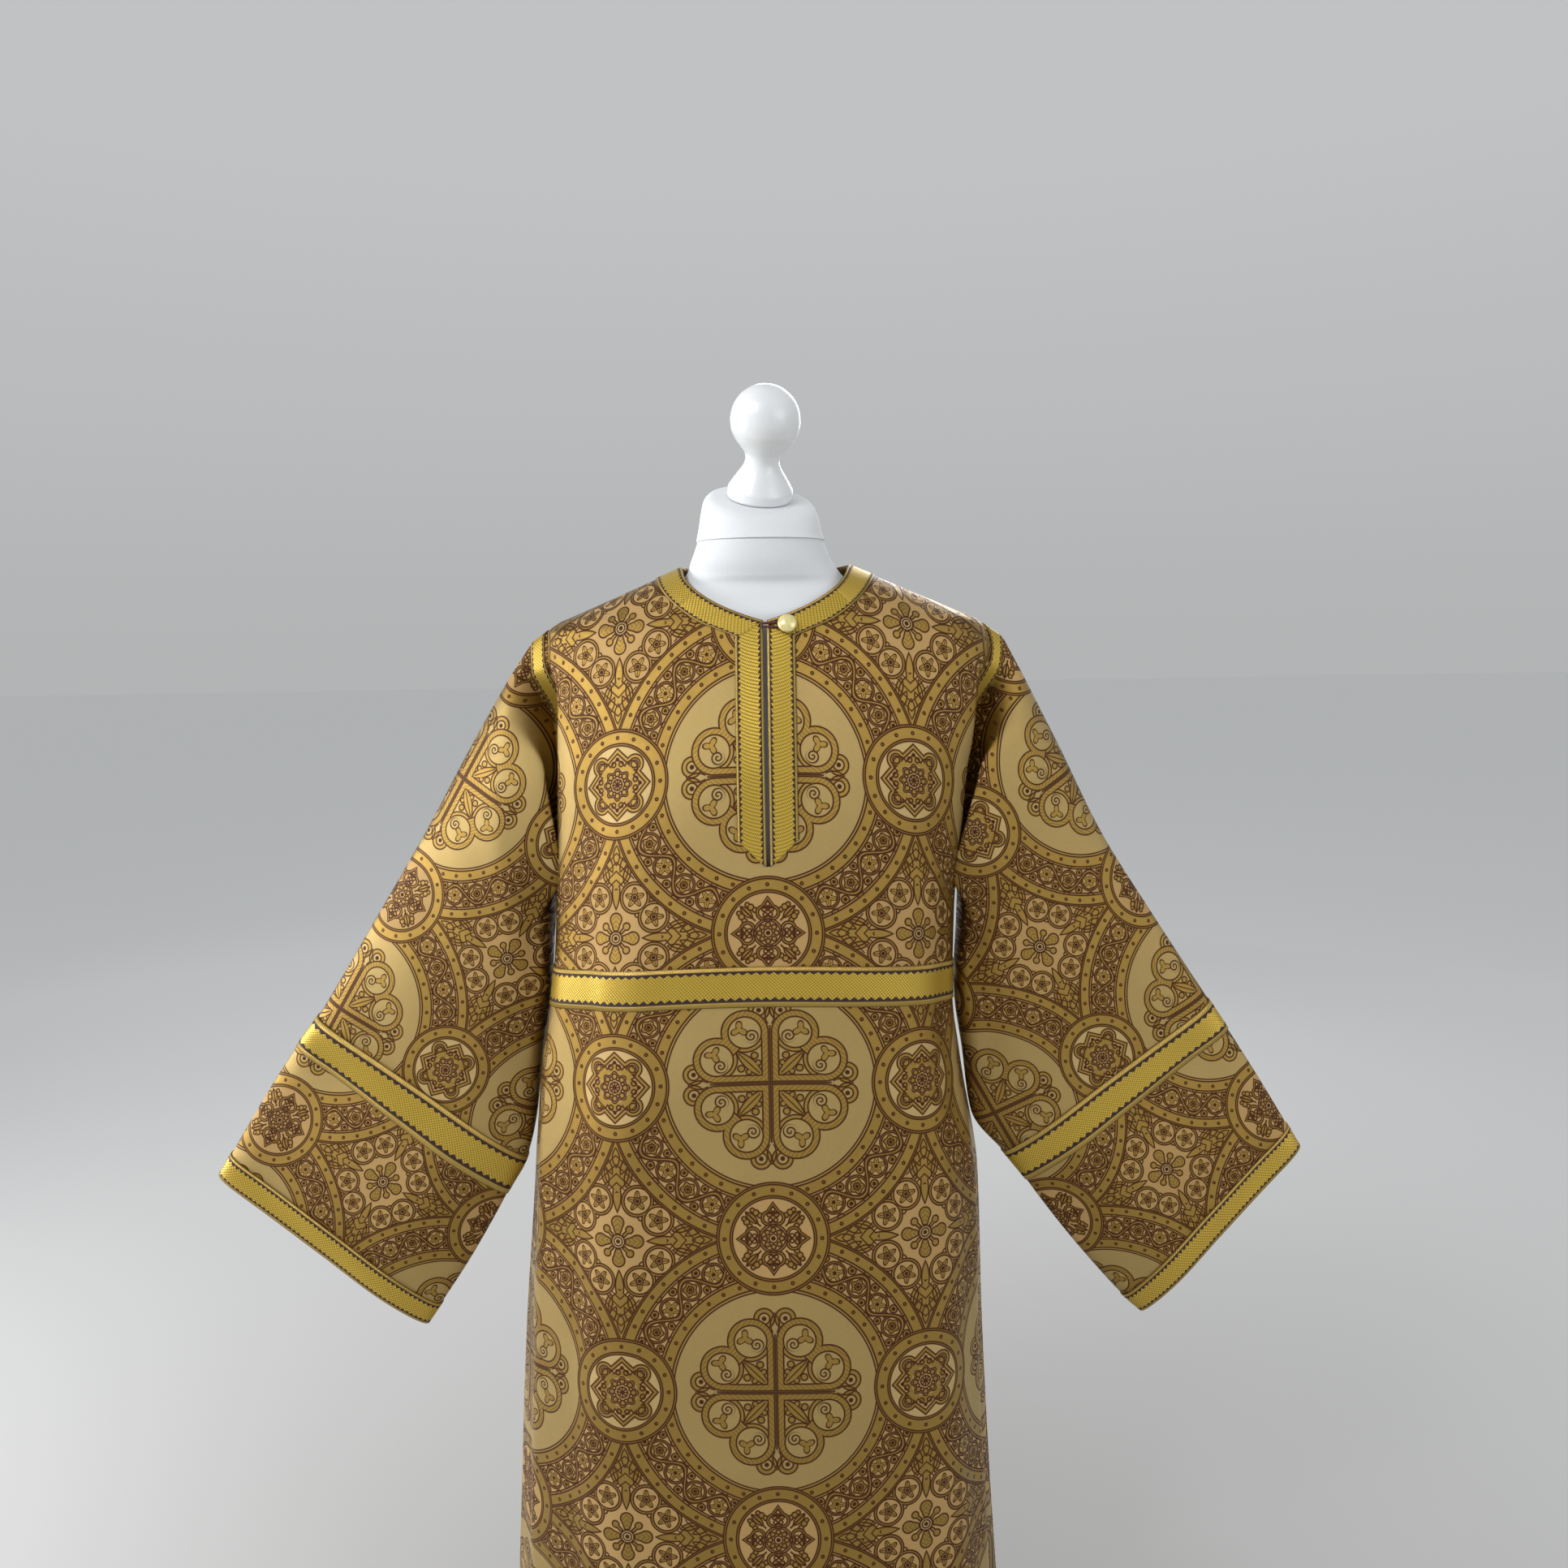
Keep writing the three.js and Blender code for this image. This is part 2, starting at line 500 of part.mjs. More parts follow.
// The collar's back length runs over both shoulder seams, from the left join round to the right one.
// Its columns are (face, w) pairs.
const collarStops = (k) => [
  ...leftColumns(k).slice(JOIN_CELLS).map((w) => ["front", w]),
  ...BACK_COLUMNS.slice(1, -1).map((w) => ["back", w]),
  ...rightColumns(k).slice(JOIN_CELLS).reverse().map((w) => ["front", w]),
];
const COLLAR_RIGHT_CELL = FRONT_HALF_COLUMNS - JOIN_CELLS + BACK_COLUMNS.length - 3;
const collarBack = patch(
  [NECK_ROW, COLLAR_ROW],
  collarStops,
  (k, [face, w]) => bodyPoint(face, k, w),
  (k, [face, w]) => faceNormal(face)(k, w),
  (i, j) => (j > COLLAR_RIGHT_CELL ? "quad-left" : "quad-right"),
);
piece(vestment, "collar_braid_back", braidOn(collarBack), GALLOON);

// ---- Sleeves and their braid
Object.entries(SLEEVES).forEach(([name, tunnel]) => {
  const turns = range(0, RING_STEPS).map((i) => (2 * i) / RING_STEPS);
  const normal = (r, turn) =>
    r === 0 ? armholeNormal(tunnel.side, turn) : sleeveNormal(tunnel, r, turn);
  const tube = (rows) => closed(patch(rows, () => turns, tunnel.at, normal), RING_STEPS + 1);
  piece(vestment, `sleeve_${name}`, wall(tube(SLEEVE_ROWS), -CLOTH, 0), BROCADE);
  piece(vestment, `armhole_braid_${name}`, braidOn(tube(ARMHOLE_BRAID)), GALLOON);
  piece(vestment, `elbow_braid_${name}`, braidOn(tube(ELBOW_BRAID)), GALLOON);
  piece(vestment, `cuff_braid_${name}`, braidOn(tube(CUFF_BRAID)), GALLOON);
});

// ---- Button and its loop at the top of the slit
const BUTTON = { x: 22, row: 0.42, radius: 9.5, height: 6.5, shank: 2, stand: 3.4 };
const LOOP = { radius: 1.2, spread: 3.6, start: 3.8, sides: 8, steps: 18 };
const braidTop = SEAM_GAP + BRAID;
const buttonShare = shareAt(BUTTON.row, BUTTON.x, "right");
const buttonSeat = bodyPoint("front", BUTTON.row, buttonShare);
const buttonUp = faceNormal("front")(BUTTON.row, buttonShare);
const buttonFoot = buttonSeat.clone().addScaledVector(buttonUp, braidTop + SEWN_ON);
const buttonProfile = [
  [0, 0],
  [BUTTON.shank, 0],
  [BUTTON.shank, BUTTON.stand],
  [BUTTON.radius * 0.82, BUTTON.stand],
  [BUTTON.radius, BUTTON.stand + 1.4],
  [BUTTON.radius * 0.93, BUTTON.stand + 3],
  [BUTTON.radius * 0.7, BUTTON.stand + 4.6],
  [BUTTON.radius * 0.36, BUTTON.stand + 5.9],
  [0, BUTTON.stand + BUTTON.height],
].map(([x, y]) => new THREE.Vector2(x, y));
const button = piece(vestment, "button", new THREE.LatheGeometry(buttonProfile, 20), BUTTON_PEARL);
button.position.copy(buttonFoot);
button.quaternion.setFromUnitVectors(new THREE.Vector3(0, 1, 0), buttonUp);

// The loop leaves the left edge of the slit, goes round the shank and comes back.
const loopHeight = braidTop + SEWN_ON + LOOP.radius;
const across = new THREE.Vector3(1, 0, 0).projectOnPlane(buttonUp).normalize();
const upward = buttonUp.clone().cross(across).normalize();
const loopCentre = buttonSeat.clone().addScaledVector(buttonUp, loopHeight);
const loopPoint = (right, up) =>
  loopCentre.clone().addScaledVector(across, right).addScaledVector(upward, up);
const loopEnd = -(BUTTON.x + LOOP.start);
const loopTurn = range(0, 6).map((i) => {
  const angle = Math.PI / 2 - (Math.PI * i) / 6;
  return loopPoint(LOOP.spread * Math.cos(angle), LOOP.spread * Math.sin(angle));
});
const loopPath = new THREE.CatmullRomCurve3([
  loopPoint(loopEnd, LOOP.spread * 0.5),
  loopPoint(loopEnd / 2, LOOP.spread * 0.6),
  ...loopTurn,
  loopPoint(loopEnd / 2, -LOOP.spread * 0.6),
  loopPoint(loopEnd, -LOOP.spread * 0.5),
]);
const loopSection = new THREE.Shape().absarc(0, 0, LOOP.radius, 0, 2 * Math.PI);
const loopGeometry = new THREE.ExtrudeGeometry(loopSection, {
  extrudePath: loopPath,
  steps: LOOP.steps,
  curveSegments: LOOP.sides / 2,
});
piece(vestment, "button_loop", loopGeometry, CORD_MAROON);

// ---- The dress form: rings of a limbless torso and neck, and the stand under it
const FORM_SIDES = 28;
function formRing({ x = 0, y = 0, z, half, front: ahead, back: behind, power = 2.2, tilt = 0, lean = 0 }) {
  const [forward, sideways] = [tilt, lean].map(THREE.MathUtils.degToRad);
  return range(0, FORM_SIDES - 1).map((i) => {
    const angle = (2 * Math.PI * i) / FORM_SIDES;
    const [c, s] = [Math.cos(angle), Math.sin(angle)];
    const across = half * Math.sign(c) * Math.abs(c) ** (2 / power);
    const depth = (s < 0 ? ahead : behind) * Math.sign(s) * Math.abs(s) ** (2 / power);
    return new THREE.Vector3(
      x + across * Math.cos(sideways),
      y + depth * Math.cos(forward),
      z + depth * Math.sin(forward) - across * Math.sin(sideways),
    );
  });
}
function loft(rings) {
  const corners = [];
  const loops = rings.map(formRing);
  const middle = (loop) =>
    loop.reduce((sum, p) => sum.add(p), new THREE.Vector3()).divideScalar(loop.length);
  const [foot, head] = [middle(loops[0]), middle(loops[loops.length - 1])];
  range(0, FORM_SIDES - 1).forEach((i) => {
    const j = (i + 1) % FORM_SIDES;
    corners.push(foot, loops[0][j], loops[0][i]);
    loops.slice(1).forEach((upper, n) => {
      const lower = loops[n];
      corners.push(lower[i], lower[j], upper[j], lower[i], upper[j], upper[i]);
    });
    const last = loops[loops.length - 1];
    corners.push(head, last[i], last[j]);
  });
  return new THREE.BufferGeometry().setFromPoints(corners);
}
const FORM_FOOT_Z = 780;
const NECK_SEAM_Z = 1537;
const NECK_X = -4;
const TORSO = [
  { z: FORM_FOOT_Z, half: 148, front: 92, back: 98 },
  { z: FORM_FOOT_Z + 20, half: 162, front: 104, back: 108 },
  { z: 900, half: 168, front: 110, back: 102, power: 2.3 },
  { z: 1000, half: 156, front: 102, back: 92, power: 2.3 },
  { z: 1080, half: 146, front: 96, back: 84, power: 2.3 },
  { z: 1180, half: 158, front: 102, back: 86, power: 2.3 },
  { z: 1270, half: 172, front: 108, back: 92, power: 2.3 },
  { z: 1330, half: 182, front: 103, back: 94, power: 2.3 },
  { z: 1380, half: 192, front: 92, back: 91, power: 2.3 },
  { z: 1420, half: 196, front: 80, back: 84, power: 2.3 },
  { z: 1446, half: 190, front: 73, back: 78 },
  { z: 1462, half: 172, front: 69, back: 74 },
  { z: 1478, half: 136, front: 60, back: 66 },
  { z: 1492, half: 98, front: 56, back: 58, x: NECK_X / 2 },
  { z: 1504, half: 81, front: 57, back: 54, x: NECK_X / 2, y: -4, tilt: 2 },
  { z: 1520, half: 72, front: 57, back: 55, x: NECK_X, y: -10, tilt: 4 },
  { z: NECK_SEAM_Z, half: 65, front: 57, back: 56, x: NECK_X, y: -14, tilt: 0 },
];
const NECK_CAP = [
  { z: NECK_SEAM_Z + SEAM_GAP, half: 66.5, front: 58.5, back: 57.5, x: NECK_X, y: -14 },
  { z: 1550, half: 63.5, front: 57, back: 56, x: NECK_X, y: -16, tilt: 11, lean: 2 },
  { z: 1563, half: 61, front: 55, back: 55, x: NECK_X, y: -18, tilt: 19, lean: 4 },
  { z: 1573, half: 57.5, front: 52, back: 52, x: NECK_X, y: -20, tilt: 23, lean: 6 },
  { z: 1578.5, half: 50, front: 45, back: 45, x: NECK_X, y: -22, tilt: 24, lean: 6 },
  { z: 1580.5, half: 40, front: 36, back: 36, x: NECK_X, y: -23, tilt: 24, lean: 6 },
];
piece(dressForm, "form_torso", loft(TORSO), FORM_WHITE);
piece(dressForm, "form_neck_cap", loft(NECK_CAP), FORM_WHITE);

const [KNOB_TILT, KNOB_LEAN] = [24, 6].map(THREE.MathUtils.degToRad);
const KNOB_PROFILE = [
  [0, 0],
  [31.5, 0],
  [33.5, 2.5],
  [33.5, 9],
  [30.5, 15],
  [24, 25],
  [19, 33],
  [17.3, 39],
  [18.6, 46],
  [23.5, 52.5],
  [30, 61],
  [34, 70],
  [35, 78.5],
  [33.6, 88],
  [28.5, 99],
  [19.5, 107.5],
  [9.5, 112.2],
  [0, 113.5],
].map(([x, y]) => new THREE.Vector2(x, y));
const knobAxis = new THREE.Vector3(
  Math.sin(KNOB_LEAN) * Math.cos(KNOB_TILT),
  -Math.cos(KNOB_LEAN) * Math.sin(KNOB_TILT),
  Math.cos(KNOB_LEAN) * Math.cos(KNOB_TILT),
).normalize();
const knob = piece(dressForm, "form_knob", new THREE.LatheGeometry(KNOB_PROFILE, 24), KNOB_WHITE);
knob.position.set(NECK_X, -23, 1580.5).addScaledVector(knobAxis, SEAM_GAP);
knob.quaternion.setFromUnitVectors(new THREE.Vector3(0, 1, 0), knobAxis);

const BASE = { radius: 205, rim: 8, crown: 16, boss: 26 };
const POLE_RADIUS = 14;
const baseProfile = [
  [0, 0],
  [BASE.radius - 2, 0],
  [BASE.radius, 3],
  [BASE.radius - 1, BASE.rim],
  [BASE.radius * 0.6, BASE.crown - 3],
  [40, BASE.crown],
  [26, BASE.boss],
  [0, BASE.boss],
].map(([x, y]) => new THREE.Vector2(x, y));
const base = piece(dressForm, "stand_base", new THREE.LatheGeometry(baseProfile, 48), STAND_METAL);
base.rotation.x = Math.PI / 2;
const poleFoot = BASE.boss + SEAM_GAP;
const poleHeight = FORM_FOOT_Z - SEAM_GAP - poleFoot;
const poleTube = new THREE.CylinderGeometry(POLE_RADIUS, POLE_RADIUS, poleHeight, 24);
const pole = piece(dressForm, "stand_pole", poleTube, STAND_METAL);
pole.rotation.x = Math.PI / 2;
pole.position.z = poleFoot + poleHeight / 2;

export default whole;
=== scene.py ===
# %% [markdown]
# # A sticharion on its dress form
#
# A sticharion is the long, wide-sleeved tunic of church vestments. Everything here hangs from one packed
# CAD model, which fixes where each piece is. This lesson puts fine cloth, braid and turned parts over it.
# All lengths are in metres, +Z is up and the front of the garment faces -Y.

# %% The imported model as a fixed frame
import math
import bpy
import bmesh
import numpy as np
from mathutils import Euler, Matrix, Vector


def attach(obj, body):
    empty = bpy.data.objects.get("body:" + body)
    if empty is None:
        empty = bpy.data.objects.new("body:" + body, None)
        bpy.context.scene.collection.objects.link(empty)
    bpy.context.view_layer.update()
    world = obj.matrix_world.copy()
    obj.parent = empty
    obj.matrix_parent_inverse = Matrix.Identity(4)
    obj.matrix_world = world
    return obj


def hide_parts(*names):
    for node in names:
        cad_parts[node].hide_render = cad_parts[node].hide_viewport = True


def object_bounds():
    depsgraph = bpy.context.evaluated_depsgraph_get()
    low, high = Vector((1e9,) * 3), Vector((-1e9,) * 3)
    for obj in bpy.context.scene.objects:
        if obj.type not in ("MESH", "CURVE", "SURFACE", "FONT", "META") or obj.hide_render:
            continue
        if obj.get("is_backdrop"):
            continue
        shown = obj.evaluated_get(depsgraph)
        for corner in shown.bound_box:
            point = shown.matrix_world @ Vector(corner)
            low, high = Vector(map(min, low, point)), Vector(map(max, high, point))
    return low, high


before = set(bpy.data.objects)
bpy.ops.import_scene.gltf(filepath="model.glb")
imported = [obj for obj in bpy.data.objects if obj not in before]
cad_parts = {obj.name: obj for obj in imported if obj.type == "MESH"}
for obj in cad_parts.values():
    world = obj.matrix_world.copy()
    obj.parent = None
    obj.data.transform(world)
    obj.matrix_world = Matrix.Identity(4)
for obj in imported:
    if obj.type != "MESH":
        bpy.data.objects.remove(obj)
cad_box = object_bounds()
MM = 0.001
scene = bpy.context.scene
print("CAD nodes:", len(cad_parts))

# %% [markdown]
# ## The camera
#
# The garment is seen from a little above its chest, by a wide lens held close. A close camera makes the
# shoulders larger than the hem, so its distance matters as much as its lens. It looks 7.5 degrees down
# and leans a little, which turns the upright garment by not quite one degree.

# %% Camera
IMAGE = 1932             # pixels on each side
FOCAL = 1452             # pixels
SENSOR = 36              # mm
EYE = np.array([16.5, -1260, 1447])      # mm
pitch, roll = math.radians(7.5), math.radians(0.9)
camera = bpy.data.objects.new("camera", bpy.data.cameras.new("camera"))
camera.data.sensor_width = SENSOR
camera.data.lens = SENSOR * FOCAL / IMAGE
camera.data.clip_start, camera.data.clip_end = 0.05, 50
camera.location = EYE * MM
camera.rotation_mode = "QUATERNION"
aim = Euler((math.pi / 2 - pitch, 0, 0)).to_quaternion()
camera.rotation_quaternion = aim @ Euler((0, 0, -roll)).to_quaternion()
scene.collection.objects.link(camera)
scene.camera = camera
print("lens", round(camera.data.lens, 2), "mm")

# %% [markdown]
# ## Smooth curves through a table
#
# A pattern cutter writes a few widths and marks and draws a fair curve through them. The same idea works
# here: each table below holds a few rows, and this helper returns a smooth function through them. A cubic
# with harmonic-mean slopes never overshoots its rows, so no bulge appears that the table doesn't hold.


# %% A fair curve
def curve(x, y):
    """Piecewise cubic through (x, y). Slope at a row is the harmonic mean of the slopes on both sides."""
    x, y = np.asarray(x, float), np.asarray(y, float)
    order = np.argsort(x)
    x, y = x[order], y[order]
    slope = np.diff(y) / np.diff(x)
    before, after = slope[:-1], slope[1:]
    total = np.where(before * after > 0, before + after, 1)
    inner = np.where(before * after > 0, 2 * before * after / total, 0)
    tangent = np.concatenate([slope[:1], inner, slope[-1:]])

    def at(value):
        v = np.clip(value, x[0], x[-1])
        i = np.clip(np.searchsorted(x, v, side="right") - 1, 0, len(x) - 2)
        h = x[i + 1] - x[i]
        t = (v - x[i]) / h
        u = 1 - t
        ends = u * u * (1 + 2 * t) * y[i] + t * t * (3 - 2 * t) * y[i + 1]
        return ends + h * t * u * (u * tangent[i] - t * tangent[i + 1])

    return at


def smooth(t):
    """0 below 0, 1 above 1, and an S-shaped rise between."""
    t = np.clip(t, 0, 1)
    return t * t * (3 - 2 * t)


# %% [markdown]
# ## The bell of the body
#
# Front and back are two lengths of brocade joined at the shoulders and sides. Worn, they make a bell. Its
# level sections are squared ellipses: a table gives each one's reach to the left and right, its depth to
# the front and back, and how square it is. Rows of the cloth run across these sections, bent like the
# neckline at the top and like the hanging weft lower down.

# %% The bell's level sections: z, left, right, front, back, power (millimetres)
SECTIONS = np.array([
    [1512, 88, 88, 34, 42, 2.2],
    [1498, 121, 121, 52, 63, 2.25],
    [1480, 163, 163, 65, 76, 2.3],
    [1466, 196, 196, 73, 84, 2.3],
    [1455, 221, 221, 79, 88, 2.35],
    [1446, 230, 230, 83, 91, 2.4],
    [1428, 230.5, 235.5, 90, 95, 2.5],
    [1390, 229.5, 232.5, 101, 101, 2.6],
    [1340, 228.5, 225.5, 112, 105, 2.75],
    [1300, 227.5, 216.5, 118, 106, 2.8],
    [1250, 227.5, 208.5, 121, 104, 2.8],
    [1160, 229.5, 198.5, 123, 101, 2.8],
    [1071, 238.5, 195.5, 125, 104, 2.75],
    [978, 253.5, 206.5, 129, 112, 2.65],
    [844, 268.5, 227.5, 135, 124, 2.55],
    [668, 286.5, 233.5, 142, 138, 2.4],
    [485, 300, 243, 149, 150, 2.3],
    [349, 309.5, 252, 154, 158, 2.25],
    [90, 327, 269, 162, 170, 2.2],
])
SECTION_COLUMNS = ["left", "right", "front", "back", "power"]
section = {n: curve(SECTIONS[:, 0], SECTIONS[:, i + 1]) for i, n in enumerate(SECTION_COLUMNS)}
print("bell", SECTIONS[-1, 1] + SECTIONS[-1, 2], "mm wide at its foot")

# %% The rows of cloth: front, back, side heights and weft bend
TIP_Z, UNDERARM_Z, ARMHOLE_STEPS, SKIRT_ROWS = 1452, 1200, 10, 14
CHEST_FOOT = np.array([1074, 1072, 1045, 1])
HEM = np.array([112, 112, 104, 1])
steps = np.arange(ARMHOLE_STEPS + 1)
armhole_z = (TIP_Z + UNDERARM_Z) / 2 + (TIP_Z - UNDERARM_Z) / 2 * np.cos(np.pi * steps / ARMHOLE_STEPS)
ARMHOLE_FRONT = [1390, 1370, 1349, 1327, 1305, 1283, 1262, 1241, 1215, 1200, 1185]
ARMHOLE_BACK = [1414, 1392, 1370, 1347, 1324, 1300, 1276, 1252, 1228, 1207, 1188]
down = np.arange(1, SKIRT_ROWS + 1)[:, None] / SKIRT_ROWS
LEVELS = np.vstack([
    [1455, 1497, 1512, 0],
    [1429, 1474, 1501, 0],
    [1419, 1458, 1489.5, 0.04],
    [1410, 1443, 1477.5, 0.08],
    [1400, 1429, 1465, 0.12],
    np.column_stack([ARMHOLE_FRONT, ARMHOLE_BACK, armhole_z, 0.16 + 0.07 * steps]),
    [1150, 1150, 1144, 0.94],
    [1115, 1113, 1088, 1],
    CHEST_FOOT,
    CHEST_FOOT + (HEM - CHEST_FOOT) * down,
])
row_number = np.arange(len(LEVELS))
level = {n: curve(row_number, LEVELS[:, i]) for i, n in enumerate(["front", "back", "side", "weft"])}
TIP_ROW, SLIT_ROW, CHEST_ROW = 5, 13, 17
HEM_ROW = len(LEVELS) - 1


def row_z(face, k, w):
    """Height of row k at the share w from middle to seam: a blend of a sine bend and a square bend."""
    neck_bend = np.sin(np.pi * w / 2) ** 1.1
    bend = neck_bend + (w * w - neck_bend) * level["weft"](k)
    return level[face](k) + (level["side"](k) - level[face](k)) * bend


print("rows", len(LEVELS), "hem at", HEM[0], "mm")

# %% [markdown]
# ## Folds of the body
#
# Brocade is stiff, so it hangs in a few long soft waves. Each wave is a bell-shaped ridge or valley across
# the cloth that grows on the way down. The large ones are in the CAD model too. The fine ones are only
# here: slight drag lines and puckers that catch the light.

# %% Wave tables: place across, width, depth (mm), height where it starts, height where it is full
FRONT_FOLDS = np.array([
    [-0.68, 0.1, -5, 1400, 1250],
    [0.74, 0.1, -4, 1400, 1250],
    [-0.5, 0.12, 4, 1120, 900],
    [-0.86, 0.07, -8, 1040, 500],
    [0.9, 0.06, -12, 1060, 600],
    [0.62, 0.14, 5, 1000, 500],
])
BACK_FOLDS = np.array([
    [-0.78, 0.09, -13, 1100, 400],
    [-0.42, 0.12, 9, 1150, 400],
    [-0.1, 0.11, -14, 1200, 350],
    [0.24, 0.12, 10, 1150, 400],
    [0.6, 0.1, -13, 1150, 400],
])
FINE_FOLDS = {
    "front": np.array([
        [-0.44, 0.06, 1.6, 1300, 1100],
        [-0.8, 0.035, 3, 1040, 900],
        [-0.93, 0.03, -2.5, 900, 760],
        [-0.62, 0.04, -1.8, 1240, 1100],
        [0.35, 0.09, -1.4, 1000, 700],
        [0.8, 0.04, 1.5, 1200, 1000],
        [-0.2, 0.08, -1.5, 900, 600],
    ]),
    "back": np.array([
        [-0.6, 0.05, 2, 1200, 900],
        [0.42, 0.06, -2, 1200, 900],
        [0.05, 0.05, 2, 1100, 800],
    ]),
}
FOLDS = {"front": FRONT_FOLDS, "back": BACK_FOLDS}


def fold_depth(rows, w, z):
    """Sum over the table of depth x bell(w) x S-shaped growth from one height to another."""
    total = np.zeros_like(w)
    for at, width, depth, start, full in rows:
        total += depth * np.exp(-(((w - at) / width) ** 2)) * smooth((start - z) / (start - full))
    return total


def fine_relief(face, w, z):
    """Fine waves and a faint unevenness of a few long ripples, at most about 2 mm. It dies out at seams."""
    ripple = 0.5 * np.sin(z / 41 + 3 * w) * np.sin(5.3 * w + z / 160)
    ripple += 0.35 * np.sin(z / 23 - 9 * w)
    return (fold_depth(FINE_FOLDS[face], w, z) + ripple) * smooth((1 - np.abs(w)) / 0.08)


print("large waves", len(FRONT_FOLDS) + len(BACK_FOLDS))

# %% [markdown]
# ## A point of the body
#
# A garment's surface is easiest to use as a function of two numbers: the row `k` down the cloth and the
# share `w` across it, -1 at the left seam and +1 at the right one. The share is taken along the curved
# section, not along a straight line, so cloth keeps its width where it turns to the side.

# %% The body's surface
QUARTER = np.linspace(0, 1, 49) ** 1.3 * np.pi / 2


def quarter(face, side, z):
    """A quarter of the squared ellipse at each height, with the running length from its middle."""
    half, depth, power = (section[n](z)[..., None] for n in (side, face, "power"))
    x = half * np.sin(QUARTER) ** (2 / power)
    y = depth * np.maximum(np.cos(QUARTER), 0) ** (2 / power)
    run = np.zeros_like(x)
    run[..., 1:] = np.cumsum(np.hypot(np.diff(x), np.diff(y)), axis=-1)
    return x, y, run


ARMHOLE_CUT = {"front": 36, "back": 50}      # mm


def seam_run(face, z, run):
    """Length from the middle to the seam: the quarter less the armhole's cut, a root-sine bulge."""
    t = np.clip((TIP_Z - z) / (TIP_Z - UNDERARM_Z), 0, 1)
    return run[..., -1] - ARMHOLE_CUT[face] * np.sin(np.pi * t) ** 0.5


PULL_IN, PULL_BACK = 17, 22          # how far the armhole seam sinks behind the front's edge, in mm
SIGN = {"left": -1, "right": 1, "front": -1, "back": 1}


def sunk(step):
    """1 on the stretch of the front armhole, counted 0 at the tip and 1 underarm, where the seam sinks in."""
    return smooth((step - 0.24) / 0.18) * (1 - smooth((step - 0.76) / 0.2))


def half_body(face, side, k, w, fine):
    """Points for shares w >= 0 of one half, and each one's length from the middle (mm)."""
    z = row_z(face, k, w)
    x, y, run = quarter(face, side, z)
    length = w * seam_run(face, z, run)
    i = np.clip((run < length[..., None]).sum(-1), 1, run.shape[-1] - 1)[..., None]
    before, after = ([np.take_along_axis(a, at, -1)[..., 0] for a in (run, x, y)] for at in (i - 1, i))
    t = (length - before[0]) / (after[0] - before[0])
    x, y = (before[n] + (after[n] - before[n]) * t for n in (1, 2))
    half, depth, power = (section[n](z) for n in (side, face, "power"))
    out = np.stack([np.maximum(x, 0) / half, np.maximum(y, 0) / depth])
    out = out ** (power - 1) / np.stack([half, depth])
    out /= np.hypot(*out)
    signed = SIGN[side] * w
    wave = fold_depth(FOLDS[face], signed, z) + fine * fine_relief(face, signed, z)
    pull = fine * sunk((k - TIP_ROW) / ARMHOLE_STEPS) * smooth((w - 0.9) / 0.1) * (face == "front")
    x, y = x + out[0] * wave - PULL_IN * pull, y + out[1] * wave - PULL_BACK * pull
    return np.stack([SIGN[side] * x, SIGN[face] * y, z], -1), SIGN[side] * length


def body(face, k, w, fine=1):
    """The bell's surface at rows k and signed shares w: points in mm and lengths from the middle line."""
    k, w = np.broadcast_arrays(np.asarray(k, float), np.asarray(w, float))
    left, left_run = half_body(face, "left", k, np.abs(w), fine)
    right, right_run = half_body(face, "right", k, np.abs(w), fine)
    is_left = w < 0
    return np.where(is_left[..., None], left, right), np.where(is_left, left_run, right_run)


def share_at(k, distance, side):
    """The share w at which the front's row k is a given length from its middle, found in six steps."""
    k, distance = np.broadcast_arrays(np.asarray(k, float), np.asarray(distance, float))
    w = np.zeros_like(distance)
    for _ in range(6):
        z = row_z("front", k, w)
        w = distance / seam_run("front", z, quarter("front", side, z)[2])
    return w


print("middle of the chest", body("front", 14.0, 0.0)[0].round(1))

# %% [markdown]
# ## The sleeves
#
# Each sleeve is a wide straight tube, folded flat by its own weight: the fold on top runs from the
# shoulder to the cuff, and the other one carries the seam under the arm. A table of rings gives both
# folded edges, and how far the two layers stand apart. Ring 0 is the armhole itself, so it is taken from
# the body.

# %% Rings: the folded edges of each sleeve, and the depths that both share (mm)
RING_EDGES = {           # top x, top z, foot x, foot z
    "left": np.array([
        [-250, 1434, -243, 1176],
        [-276, 1394, -249, 1126],
        [-316, 1328, -255, 1058],
        [-368, 1238, -261, 990],
        [-426, 1145, -266, 922],
        [-494, 1038, -276, 874],
        [-519, 1005, -298, 831],
        [-559, 946, -341, 757],
        [-597, 885, -376, 705],
        [-612, 861, -392, 682],
    ]),
    "right": np.array([
        [252, 1433, 216, 1176],
        [277, 1384, 219, 1122],
        [312, 1315, 220, 1052],
        [355, 1228, 223, 980],
        [417, 1129, 229, 915],
        [475, 1040, 257, 871],
        [496, 1008, 278, 838],
        [532, 951, 330, 768],
        [563, 899, 386, 703],
        [577, 875, 407, 684],
    ]),
}
RING_DEPTHS = np.array([                 # middle y, front, back, bow
    [0, 23, 40, 0],
    [-3, 50, 50, 0],
    [-6, 46, 48, 0],
    [-10, 38, 42, -1],
    [-13, 30, 36, -2],
    [-17, 24, 32, -4],
    [-18, 23, 31, -4],
    [-21, 22, 29, -4],
    [-24, 21, 28, -5],
    [-25, 20, 27, -5],
])
CUFF_RING = 10
SLEEVE_POWER = 2.5
